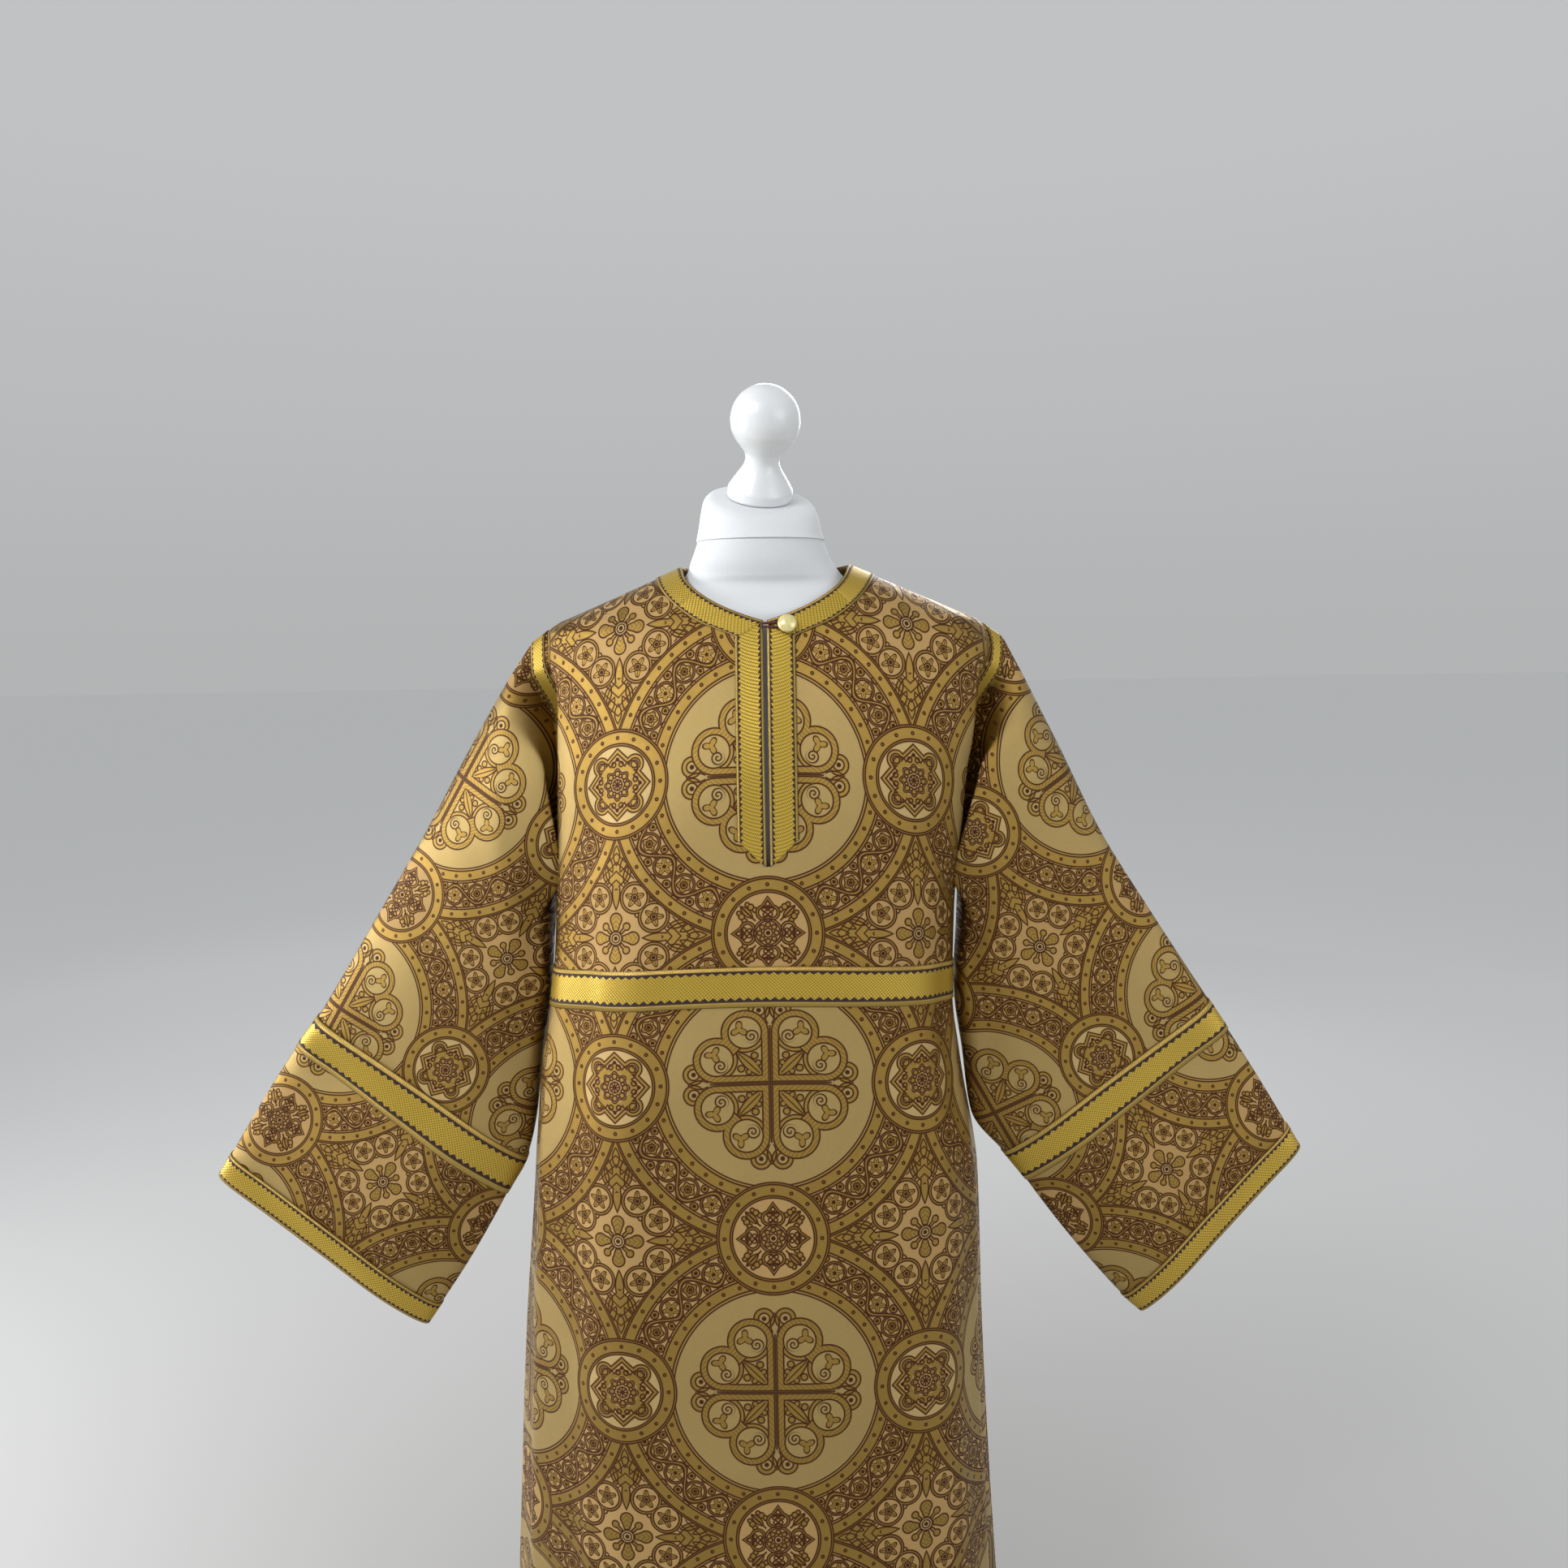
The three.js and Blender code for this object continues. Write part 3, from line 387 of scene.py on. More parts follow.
SLEEVE_FOLDS = [          # place round, width, depth (mm), ring where it starts, is full, is gone
    (0.42, 0.16, 7, 0.8, 2.2, 4.5),
    (0.72, 0.1, -7, 1, 3, 6),
    (0.3, 0.14, -5, 4, 8, 12),
    (0.62, 0.14, 6, 4, 8, 12),
    (1.35, 0.14, -6, 3, 6, 12),
    (1.68, 0.14, 6, 2, 5, 12),
]
# The front layer laps over its armhole seam, towards the body, between two places on the way round.
LAP_REACH, LAP_RING, LAP_WIDTH, LAP_TOP, LAP_FOOT, LAP_EASE = 30, 1.9, 0.42, 0.3, 0.64, 0.13
HUG_RINGS = np.arange(1, 8)
HUG = {                  # how far the foot fold leans in until it all but touches the body, in mm
    "left": curve(HUG_RINGS, [9, 11, 12, 7, 3.5, 2, 0]),
    "right": curve(HUG_RINGS, [11, 15.5, 20, 14, 11, 5, 0]),
}
ring_curves = {}
for side, edges in RING_EDGES.items():
    columns = np.hstack([edges, RING_DEPTHS]).T
    ring_curves[side] = [curve(np.arange(1, CUFF_RING + 1), column) for column in columns]


def sleeve(side, r, turn, fine=1):
    """Sleeve point for ring r and turn: 0 top fold, 1 foot fold by the front, 2 the top again by the back."""
    r, turn = np.broadcast_arrays(np.asarray(r, float), np.asarray(turn, float))
    t, ring, sign = turn % 2, np.maximum(r, 1), SIGN[side]
    top_x, top_z, foot_x, foot_z, mid_y, front, back, bow = (at(ring) for at in ring_curves[side])
    c, s = np.cos(np.pi * t), np.sin(np.pi * t)
    share = (1 - np.sign(c) * np.abs(c) ** (2 / SLEEVE_POWER)) / 2
    wave = np.zeros_like(t)
    for at, width, depth, start, full, gone in SLEEVE_FOLDS:
        grown = smooth((r - start) / (full - start)) * (1 - smooth((r - full) / (gone - full)))
        wave += depth * np.exp(-(((t - at) / width) ** 2)) * grown
    ripple = 0.9 * np.sin(2.1 * r + 9 * t) + 0.5 * np.sin(5 * r - 14 * t)
    wave += fine * smooth((r - 1) / 0.6) * ripple
    squared = np.sign(s) * np.abs(s) ** (2 / SLEEVE_POWER)
    pull = fine * sunk(t) * np.exp(-(((ring - 1) / 0.4) ** 2))
    y = mid_y - squared * (np.where(s > 0, front, back) + wave) + PULL_BACK * pull
    foot_x = foot_x - sign * fine * HUG[side](ring)
    dx, dz = foot_x - top_x, foot_z - top_z
    length = np.hypot(dx, dz)
    sag = bow * np.sin(np.pi * share)
    lapped = smooth((t - LAP_TOP) / LAP_EASE) * (1 - smooth((t - LAP_FOOT) / LAP_EASE))
    lap = LAP_REACH * np.exp(-(((r - LAP_RING) / LAP_WIDTH) ** 2)) * lapped
    flat = np.stack([
        top_x + dx * share + sign * -dz * sag / length - sign * (lap + PULL_IN * pull),
        y,
        top_z + dz * share - sign * -dx * sag / length,
    ], -1)
    step = np.where(t <= 1, t, 2 - t) * ARMHOLE_STEPS
    by_front = body("front", TIP_ROW + step, sign, fine)[0]
    by_back = body("back", TIP_ROW + step, sign, fine)[0]
    hole = np.where((t <= 1)[..., None], by_front, by_back)
    blend = np.clip(r, 0, 1)[..., None]
    return hole + (flat - hole) * blend


print("left cuff", sleeve("left", 10.0, 0.0).round(1), sleeve("left", 10.0, 1.0).round(1))

# %% [markdown]
# ## From a grid of points to a mesh
#
# Each cloth piece is one grid of quads. Its UV map holds the flat place of each point in the cloth, so a
# woven pattern follows the garment as it does on the real one. A cell may have another UV on its left
# than its neighbour has on its right, which makes a seam in the pattern without cutting the mesh.


# %% Mesh helpers
CLOTH, BRAID = 1.6, 1.0                  # thickness in mm


def all_smooth(mesh):
    """Shades every face as a part of one smooth surface."""
    mesh.polygons.foreach_set("use_smooth", np.ones(len(mesh.polygons), bool))
    return mesh


def grid_mesh(name, points, uv_start, uv_end=None, closed=False, flip=False):
    """Quads between neighbouring rows and columns. points are in mm, and each cell has UVs at both ends."""
    rows, columns = points.shape[:2]
    cells = columns if closed else columns - 1
    if uv_end is None:
        uv_start, uv_end = uv_start[:, :cells], uv_start[:, 1 : cells + 1]
    i, j = np.meshgrid(np.arange(rows - 1), np.arange(cells), indexing="ij")
    after = (j + 1) % columns
    corners = [i * columns + j, i * columns + after, (i + 1) * columns + after, (i + 1) * columns + j]
    spots = [uv_start[:-1], uv_end[:-1], uv_end[1:], uv_start[1:]]
    if flip:
        corners, spots = corners[::-1], spots[::-1]
    index = np.stack(corners, -1).reshape(-1)
    uv = np.stack(spots, 2).reshape(-1, 2)
    mesh = bpy.data.meshes.new(name)
    mesh.vertices.add(rows * columns)
    mesh.vertices.foreach_set("co", (points.reshape(-1, 3) * MM).astype(np.float32).ravel())
    mesh.loops.add(len(index))
    mesh.loops.foreach_set("vertex_index", index.astype(np.int32))
    mesh.polygons.add(len(index) // 4)
    mesh.polygons.foreach_set("loop_start", np.arange(0, len(index), 4, dtype=np.int32))
    mesh.update(calc_edges=True)
    mesh.uv_layers.new(name="flat")
    mesh.uv_layers["flat"].data.foreach_set("uv", uv.astype(np.float32).ravel())
    mesh.validate()
    return all_smooth(mesh)


def add_piece(mesh, slot, materials, *stands_for):
    """Links the mesh as a piece of the object with its finishes, and hides the CAD nodes it stands for. slot
    is not used.
    """
    piece = bpy.data.objects.new(mesh.name, mesh)
    scene.collection.objects.link(piece)
    for material in materials:
        mesh.materials.append(material)
    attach(piece, "root")
    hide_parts(*stands_for)
    return piece


def thicken(piece, thickness, outward=False, inner=0):
    """Gives a sheet its real thickness, on its inside or its outside. inner is the lining's material slot."""
    solid = piece.modifiers.new("thickness", "SOLIDIFY")
    solid.thickness = thickness * MM
    solid.offset = 1 if outward else -1
    solid.material_offset = inner
    solid.use_even_offset = True
    return piece


# %% [markdown]
# ## Drawing with numbers
#
# A woven figure is a drawing that repeats. Here it is drawn by a shader with no picture at all: each line
# is the set of places whose distance to a circle, a wave or a spiral is small. Such a drawing stays sharp
# at any size. Writing hundreds of Math nodes by hand would be unreadable, so this small class lets plain
# sums in Python lay down the nodes.


# %% A number that a shader works out
class Number:
    """The output of a node. Sums with other numbers add Math nodes to the tree that is being drawn."""

    tree = None

    def __init__(self, socket):
        self.socket = socket

    def __add__(self, other):
        return math_node("ADD", self, other)

    def __sub__(self, other):
        return math_node("SUBTRACT", self, other)

    def __rsub__(self, other):
        return math_node("SUBTRACT", other, self)

    def __mul__(self, other):
        return math_node("MULTIPLY", self, other)

    def __or__(self, other):
        return math_node("MINIMUM", self, other)

    def __and__(self, other):
        return math_node("MAXIMUM", self, other)

    def __neg__(self):
        return 0.0 - self

    def __abs__(self):
        return math_node("ABSOLUTE", self)

    __radd__, __rmul__ = __add__, __mul__


def math_node(operation, *values, clamp=False):
    """One Math node with the given inputs, each a Number or a plain number."""
    node = Number.tree.nodes.new("ShaderNodeMath")
    node.operation, node.use_clamp = operation, clamp
    for socket, value in zip(node.inputs, values):
        if isinstance(value, Number):
            Number.tree.links.new(value.socket, socket)
        else:
            socket.default_value = value
    return Number(node.outputs[0])


def function(operation):
    """A Math node's operation as a function of Numbers."""
    return lambda *values: math_node(operation, *values)


root, fraction, rounded, sine, cosine = map(function, ("SQRT", "FRACT", "ROUND", "SINE", "COSINE"))
smaller, larger, angle = map(function, ("MINIMUM", "MAXIMUM", "ARCTAN2"))
TURN = 2 * math.pi


def clamped(value):
    """The value kept between 0 and 1."""
    return math_node("ADD", value, 0.0, clamp=True)


print("drawing tools ready")

# %% [markdown]
# ## Finishes
#
# Every finish starts from a Principled shader. Colours are given as they would be read off a colour card,
# from 0 to 255, and turned into the linear values that light works in.


# %% Making a finish
def shade(red, green, blue):
    """A colour card's red, green and blue as linear light."""
    values = np.array([red, green, blue]) / 255
    linear = np.where(values <= 0.04045, values / 12.92, ((values + 0.055) / 1.055) ** 2.4)
    return (*linear, 1.0)


def preset(shader, **values):
    """Sets inputs of a shader to constants. An input's name has _ for its spaces."""
    for name, value in values.items():
        shader.inputs[name.replace("_", " ")].default_value = value


def new_finish(name, roughness, metallic=0.0):
    """A material with its Principled shader, and the tree that Numbers now draw in."""
    material = bpy.data.materials.new(name)
    material.use_nodes = True
    Number.tree = material.node_tree
    shader = material.node_tree.nodes["Principled BSDF"]
    preset(shader, Roughness=roughness, Metallic=metallic)
    return material, shader


def join(value, socket):
    """Links a Number or a socket to an input."""
    Number.tree.links.new(value.socket if isinstance(value, Number) else value, socket)


def mixed(under, over, share):
    """under where share is 0 and over where it is 1. Either is a colour or a socket."""
    node = Number.tree.nodes.new("ShaderNodeMix")
    node.data_type = "RGBA"
    for value, socket in ((under, node.inputs[6]), (over, node.inputs[7])):
        if isinstance(value, tuple):
            socket.default_value = value
        else:
            join(value, socket)
    join(share, node.inputs[0])
    return node.outputs[2]


def coated(base, *coats):
    """A base colour under several coats, each given as its colour and its share."""
    for color, share in coats:
        base = mixed(base, color, share)
    return base


def split(vector):
    """The parts of a vector socket as Numbers."""
    parts = Number.tree.nodes.new("ShaderNodeSeparateXYZ")
    join(vector, parts.inputs[0])
    return [Number(part) for part in parts.outputs]


def flat_place():
    """The piece's own UV map as two Numbers and as a vector socket."""
    uv = Number.tree.nodes.new("ShaderNodeUVMap")
    uv.uv_map = "flat"
    return (*split(uv.outputs[0])[:2], uv.outputs[0])


def place_on_object():
    """The point's own coordinates on the object, as a vector socket."""
    return Number.tree.nodes.new("ShaderNodeTexCoord").outputs["Object"]


def mottle(vector, scale, stretch=(1, 1, 1), detail=3.0):
    """Smooth noise from 0 to 1, stretched along each axis."""
    mapping = Number.tree.nodes.new("ShaderNodeMapping")
    mapping.inputs["Scale"].default_value = stretch
    join(vector, mapping.inputs["Vector"])
    noise = Number.tree.nodes.new("ShaderNodeTexNoise")
    preset(noise, Scale=scale, Detail=detail)
    join(mapping.outputs[0], noise.inputs["Vector"])
    return Number(noise.outputs["Fac"])


def relief(height, distance, shader):
    """Bends the shader's normals by a height from 0 to 1 that stands for a distance in metres."""
    bump = Number.tree.nodes.new("ShaderNodeBump")
    preset(bump, Distance=distance, Strength=1.0)
    join(height, bump.inputs["Height"])
    join(bump.outputs[0], shader.inputs["Normal"])


def mottled_finish(name, roughness, scale, dark, light, metallic=0.0):
    """A finish whose colour drifts between two shades, with its shader and the drift as a Number."""
    material, shader = new_finish(name, roughness, metallic)
    tone = mottle(place_on_object(), scale)
    join(mixed(shade(*dark), shade(*light), tone), shader.inputs["Base Color"])
    return material, shader, tone


print("white card", shade(255, 255, 255)[:3])

# %% [markdown]
# ## The figured brocade
#
# This brocade repeats about every 32 cm. A large pale satin disc with a rope-edged cross medallion lies in
# two studded gold rings with a vine between them. A small roundel sits halfway between medallions along
# each row and another one halfway down, and an eight-petalled rosette fills each corner. It is a common
# church pattern of interlaced circles, drawn here from scratch with circles, waves and spirals.
#
# A figure is a Number that is below 0 inside and grows with the distance outside. So `a | b` is either of
# two figures, `a & b` is their common part, `-a` is all that is outside, and `abs(a)` is the outline.

# %% The repeat's plan, in repeats
DISC, VINE_INNER, VINE_OUTER, RIM = 0.337, 0.382, 0.482, 0.527
SIDE_ROUNDEL, SIDE_INNER = 0.177, 0.125      # halfway between medallions along a row
FOOT_ROUNDEL, FOOT_INNER = 0.181, 0.131      # halfway between medallions up and down
DIAGONAL, STUD = 0.7071, 0.0042


def length(x, y):
    """Distance of (x, y) from the middle."""
    return root(x * x + y * y)


def sectors(x, y, count):
    """Folds a figure into one mirrored half of count equal sectors, so that one motif is drawn once."""
    turn = angle(y, x) * (count / TURN)
    part = abs(turn - rounded(turn)) * (TURN / count)
    r = length(x, y)
    return r * cosine(part), r * sine(part)


def disc(x, y, at_x, at_y, radius):
    """A round spot."""
    return length(x - at_x, y - at_y) - radius


def lens(along, across, middle, half_length, half_width):
    """A pointed leaf: two arcs that meet at both ends."""
    t = (along - middle) * (1 / half_length)
    return across - (1.0 - t * t) * half_width


def between(value, low, high):
    """The band between two values."""
    return (low - value) & (value - high)


def within(value, middle, reach):
    """The band around a value."""
    return abs(value - middle) - reach


def double(distance, half_gap):
    """Two lines side by side."""
    return abs(abs(distance) - half_gap)


def stripes(value, width):
    """Lines at every whole step of value plus a half."""
    return abs(fraction(value) - 0.5) * width


def studs(r, turn, middle, count):
    """Small circles evenly spaced round a ring: turn is the angle in radians."""
    step = turn * (count / TURN)
    along = (step - rounded(step)) * (TURN / count * middle)
    return abs(length(along, r - middle) - STUD)


def curl(x, y, pitch, outer):
    """A spiral of a given pitch, cut off at its outer radius."""
    r = length(x, y)
    return stripes(r * (1 / pitch) + angle(y, x) * (1 / TURN), pitch) & (r - outer)


# %% The large medallion: four rope-edged hearts that make a cross
LOBE_X, LOBE_Y, LOBE_RADIUS, ROPE = 0.169, 0.079, 0.074, 0.0215


def medallion(x, y):
    """Lines and gold of one quadrant, mirrored about its diagonal so that one lobe serves for two."""
    a, b = larger(x, y), smaller(x, y)
    u, w = (a + b) * DIAGONAL, (a - b) * DIAGONAL
    from_x, from_y = a - LOBE_X, b - LOBE_Y
    from_lobe = length(from_x, from_y)
    from_volute = length(a - 0.243, b - 0.034)
    volute = from_volute - 0.033
    heart = (from_lobe - LOBE_RADIUS) | (0.005 - b) & (a - LOBE_X) & (u - 0.17)
    outside, inside, in_lobe = -heart, heart + ROPE + 0.003, from_lobe - 0.05
    band = heart & (outside - ROPE)
    rope = stripes((a + b * 1.3) * 52.0, 0.019) + 0.0017
    leaf = lens(u, w, 0.09, 0.062, 0.017) | disc(u, w, 0.1, 0.03, 0.011) | disc(u, w, 0.075, 0.021, 0.009)
    leaf = leaf & (0.067 - from_lobe)
    sprig_x, sprig_y = from_x - 0.01, from_y - 0.018
    sprig = length(sprig_x, sprig_y) - 0.019 - 0.009 * cosine(angle(sprig_y, sprig_x) * 3.0)
    lines = (
        abs(heart)
        | abs(heart + ROPE)
        | rope & band
        | (double(from_lobe - 0.059, 0.0065) | abs(leaf)) & inside
        | (w + 0.0006) & within(u, 0.095, 0.045)
        | abs(sprig) & in_lobe
        | curl(from_x + 0.012, from_y + 0.02, 0.0125, 0.021) & -sprig
        | (abs(volute) | abs(from_volute - 0.018) | from_volute - 0.005) & outside
        | abs(lens(a, b, 0.225, 0.036, 0.014)) & outside & (0.2 - a)
        | (b - 0.0002) & (a - 0.19)
    )
    gilt = (
        band
        | (between(from_lobe, 0.0525, 0.0655) | leaf) & inside
        | sprig & in_lobe
        | volute & (0.018 - from_volute)
    )
    return lines, gilt


# %% The vine between the two gold rings
VINE_CELLS, VINE_START = 30, 2.275           # motifs in a turn, and where they begin
NEVER = 9.0                                  # a distance at which nothing is drawn


def vine(r, turn):
    """A wave is the stem, and in its bays leaves and round flowers alternate: its lines and its gold."""
    cells = turn * (VINE_CELLS / TURN) - VINE_START
    middle = (VINE_INNER + VINE_OUTER) / 2
    arc = TURN / VINE_CELLS * middle
    rise, nearest = r - middle, rounded(cells)
    stem = abs(rise - cosine(cells * math.pi) * 0.037) * 0.62
    along, odd = (cells - nearest) * arc, fraction(nearest * 0.5) * 2.0
    motif_r, motif_turn = length(along, rise), angle(rise, along)
    leaf = motif_r - (0.0215 + (0.003 + odd * 0.005) * cosine(motif_turn * 5.0))
    ring = abs(motif_r - 0.034)
    node = (fraction(cells) - 0.5) * arc
    from_node = length(node, abs(rise) - 0.033)
    knot = abs(from_node - 0.0125) | (from_node - 0.004) | abs(length(node, rise) - 0.009)
    off_stem = 0.008 - stem
    lines = (
        abs(stem - 0.0042)
        | (abs(ring - 0.0032) | knot) & off_stem
        | abs(leaf)
        | (motif_r - 0.004)
        | (abs(motif_r - 0.011) + odd * NEVER)
        | stripes(motif_turn * (5 / TURN) + 0.5, 0.05) & (motif_r - 0.017)
        | abs(length(along, abs(rise) - 0.052) - 0.01) & (0.037 - motif_r)
    )
    return lines, leaf | (stem - 0.0042) | (ring - 0.0032) | (from_node - 0.0125) & off_stem


# %% Roundels between the medallions
def roundel_ring(r, turn, outer, inner):
    """A gold ring with a corded outer edge, a double inner line and sixteen studs: its lines and its gold."""
    lines = double(r - outer + 0.0035, 0.0035) | double(r - inner - 0.0035, 0.0035)
    return lines | studs(r, turn, (outer + inner) / 2, 16), between(r, inner, outer)


def side_roundel(x, y, r):
    """A star of four points and four round lobes in a double outline, round a dense lace flower."""
    turn = angle(y, x)
    u4, w4 = sectors(x, y, 4)
    u8, w8 = sectors(x, y, 8)
    ring, ring_gilt = roundel_ring(r, turn, SIDE_ROUNDEL, SIDE_INNER)
    point = (u4 + w4 * 0.9) * 0.743
    star = (point - 0.0865) | disc(u4, w4, 0.062, 0.062, 0.031)
    inner_star = (point - 0.062) | disc(u4, w4, 0.049, 0.049, 0.024)
    petal = disc(u8, w8, 0.036, 0.0, 0.009)
    lines = (
        ring
        | abs(star)
        | abs(star + 0.012)
        | abs(inner_star)
        | abs(disc(u4, w4, 0.062, 0.062, 0.012))
        | disc(u4, w4, 0.082, 0.0, 0.004)
        | abs(disc(u4, w4, 0.066, 0.014, 0.008))
        | abs(r - 0.047 - 0.005 * cosine(turn * 8.0))
        | abs(petal)
        | abs(disc(u8, w8, 0.028, 0.012, 0.006))
        | abs(r - 0.017)
        | w8 & within(r, 0.012, 0.006)
        | (r - 0.004)
    )
    gilt = ring_gilt | star & -(star + 0.012) | inner_star & (0.05 - r) | petal
    return lines, gilt, (r - SIDE_INNER) & -star


def foot_roundel(x, y, r):
    """Four onion-shaped leaves in a cross round a rosette, with sprays of leaves between them."""
    u4, w4 = sectors(x, y, 4)
    u8, w8 = sectors(x, y, 8)
    d, e = (u4 + w4) * DIAGONAL, (u4 - w4) * DIAGONAL
    ring, ring_gilt = roundel_ring(r, angle(y, x), FOOT_ROUNDEL, FOOT_INNER)
    onion = disc(u4, w4, 0.066, 0.014, 0.024) | (w4 - (0.118 - u4) * 0.72) & (0.076 - u4)
    spray = lens(d, e, 0.096, 0.028, 0.011)
    for along, across, radius in ((0.098, 0.021, 0.0095), (0.082, 0.024, 0.008), (0.112, 0.019, 0.007)):
        spray = spray | disc(d, e, along, across, radius)
    kernel, petal = disc(u4, w4, 0.078, 0.011, 0.0085), disc(u8, w8, 0.027, 0.0, 0.008)
    lines = (
        ring
        | abs(onion)
        | abs(onion + 0.008)
        | abs(spray) & (0.002 - onion)
        | (e - 0.0003) & within(d, 0.09, 0.032)
        | abs(kernel)
        | abs(disc(u4, w4, 0.094, 0.0, 0.0065))
        | abs(disc(u4, w4, 0.06, 0.009, 0.006))
        | abs(petal)
        | (r - 0.005)
    )
    for radius in (0.046, 0.039, 0.014):
        lines = lines | abs(r - radius)
    return lines, ring_gilt | onion & -(onion + 0.008) | spray | petal | kernel


# %% The rosette field in the corners
LINK_X, LINK_Y, LINK_RADIUS = 0.131, 0.0667, 0.047


def rosette_field(x, y, r):
    """Eight-petalled rosette in a chain of eight linked rings, with palmettes towards the roundels."""
    u4, w4 = sectors(x, y, 4)
    d, e = (u4 + w4) * DIAGONAL, (u4 - w4) * DIAGONAL
    link_x, link_y = u4 - LINK_X, w4 - LINK_Y
    link, link_turn = length(link_x, link_y), angle(link_y, link_x)
    petal = disc(u4, w4, 0.062, 0.0, 0.021) | (w4 - u4 * 0.33) & between(u4, 0.025, 0.061)
    small_petal = disc(d, e, 0.055, 0.0, 0.012) | (e - 0.005) & within(d, 0.038, 0.013)
    blossom = link - 0.024 - 0.008 * cosine(link_turn * 5.0)
    chain = abs(link - LINK_RADIUS) - 0.0042
    off_link = LINK_RADIUS + 0.004 - link
    stem = lens(u4, w4, 0.15, 0.055, 0.014)
    stem = stem | lens(u4 * 0.8 + w4 * 0.6, w4 * 0.8 - u4 * 0.6 + 0.098, 0.168, 0.034, 0.009)
    fan = lens(u4, w4, 0.272, 0.032, 0.012)
    for ahead, aside, shift, middle, width in (
        (0.9, 0.44, 0.083, 0.236, 0.011),
        (0.97, 0.24, 0.012, 0.212, 0.012),
    ):
        leaf_side = abs(w4 * ahead - u4 * aside + shift)
        fan = fan | lens(u4 * ahead + w4 * aside, leaf_side, middle, 0.034, width)
    chevron = stripes(u4 * 34.0 + w4 * 30.0, 0.022) + 0.0004
    spot = disc(d, e, 0.112, 0.0, 0.012) | disc(d, e, 0.19, 0.0, 0.013) | disc(d, e, 0.215, 0.022, 0.01)
    hatch = stripes((u4 + w4) * 60.0, 0.0167) + 0.0018
    lines = (
        abs(petal)
        | abs(small_petal)
        | abs(r - 0.022)
        | abs(r - 0.014)
        | (r - 0.005)
        | abs(chain)
        | abs(blossom) & (link - 0.042)
        | (link - 0.0045)
        | abs(link - 0.011)
        | stripes(link_turn * (5 / TURN) + 0.5, 0.06) & within(link, 0.018, 0.006)
        | (abs(stem) | abs(fan) | abs(spot) | chevron & (w4 - 0.062) & within(u4, 0.222, 0.062)) & off_link
        | hatch & (petal + 0.003)
    )
    gilt = petal | small_petal | chain | blossom & (0.011 - link) | (stem | fan) & off_link
    return lines, gilt, (r - 0.03) & -(petal | small_petal | link - LINK_RADIUS - 0.004)


# %% The whole repeat
INK = 0.0027             # half the width of a drawn line, in repeats


def inked(distance, half_width=INK, soft=0.0026):
    """1 on a line and 0 away from it, with a soft edge about as wide as one thread."""
    return clamped(distance * (-1 / soft) + (half_width / soft + 0.5))


def woven_repeat(u, v):
    """Masks for ink, gold, satin and cream at a flat place. The repeat is mirrored in both directions."""
    x, y = abs(u - rounded(u)), abs(v - rounded(v))
    r, turn = length(x, y), angle(y, x)
    side_x, foot_y = 0.5 - x, 0.5 - y
    side_r, foot_r = length(side_x, y), length(x, foot_y)
    m_lines, m_gilt = medallion(x, y)
    v_lines, v_gilt = vine(r, turn)
    f_lines, f_gilt, f_cream = rosette_field(side_x, foot_y, length(side_x, foot_y))
    s_lines, s_gilt, s_cream = side_roundel(side_x, y, side_r)
    b_lines, b_gilt = foot_roundel(x, foot_y, foot_r)
    rings = (
        double(r - DISC, 0.0045)
        | double(r - VINE_INNER, 0.004)
        | double(r - VINE_OUTER, 0.004)
        | double(r - RIM + 0.003, 0.003)
        | studs(r, turn, (DISC + VINE_INNER) / 2, 40)
        | studs(r, turn, (VINE_OUTER + RIM) / 2, 56)
    )
    gold_rings = between(r, DISC, VINE_INNER) | between(r, VINE_OUTER, RIM)
    in_disc, in_vine, off_rim = r - DISC, between(r, VINE_INNER, VINE_OUTER), RIM - r
    in_side, in_foot = side_r - SIDE_ROUNDEL, foot_r - FOOT_ROUNDEL
    off_roundels = -in_side & -in_foot
    lines = (m_lines & in_disc | rings | v_lines & in_vine | f_lines & off_rim) & off_roundels
    lines = lines | s_lines & in_side | b_lines & in_foot
    gilt = (m_gilt & in_disc | gold_rings | v_gilt & in_vine | f_gilt & off_rim) & off_roundels
    gilt = gilt | s_gilt & in_side | b_gilt & in_foot
    satin = inked(in_disc & -m_gilt & off_roundels, 0.0)
    return inked(lines), inked(gilt, 0.0), satin, inked(f_cream & off_rim | s_cream, 0.0)

# %% The brocade's finish
brocade, shader = new_finish("brocade", 0.46)
preset(shader, Specular_IOR_Level=0.15)
u, v, uv_vector = flat_place()
ink, gilt, satin, cream = woven_repeat(u, v)
# streaks: tone that runs along the weft, partly the yarn's own and partly painted sheen of the satin.
streaks = mottle(uv_vector, 3.0, (18, 320, 1), 2.0)
wear = mottle(place_on_object(), 4.0)
ground = mixed(shade(166, 132, 80), shade(190, 156, 102), wear)
gold = mixed(shade(142, 112, 50), shade(174, 142, 72), streaks)
pale = mixed(shade(160, 135, 82), shade(184, 158, 102), streaks)
brightest, maroon = shade(204, 182, 128), shade(62, 22, 5)
color = coated(ground, (gold, gilt * 0.94), (pale, satin), (brightest, cream * 0.5), (maroon, ink * 0.97))
join(color, shader.inputs["Base Color"])
join((gilt * 0.6 + satin * 0.35 + cream * 0.3) * (1.0 - ink) + 0.3, shader.inputs["Metallic"])
join(0.47 - gilt * 0.17 - satin * 0.12 + ink * 0.1, shader.inputs["Roughness"])
relief(streaks + mottle(uv_vector, 2.0, (900, 300, 1), 1.0), 0.00022, shader)
print("brocade nodes", len(brocade.node_tree.nodes))

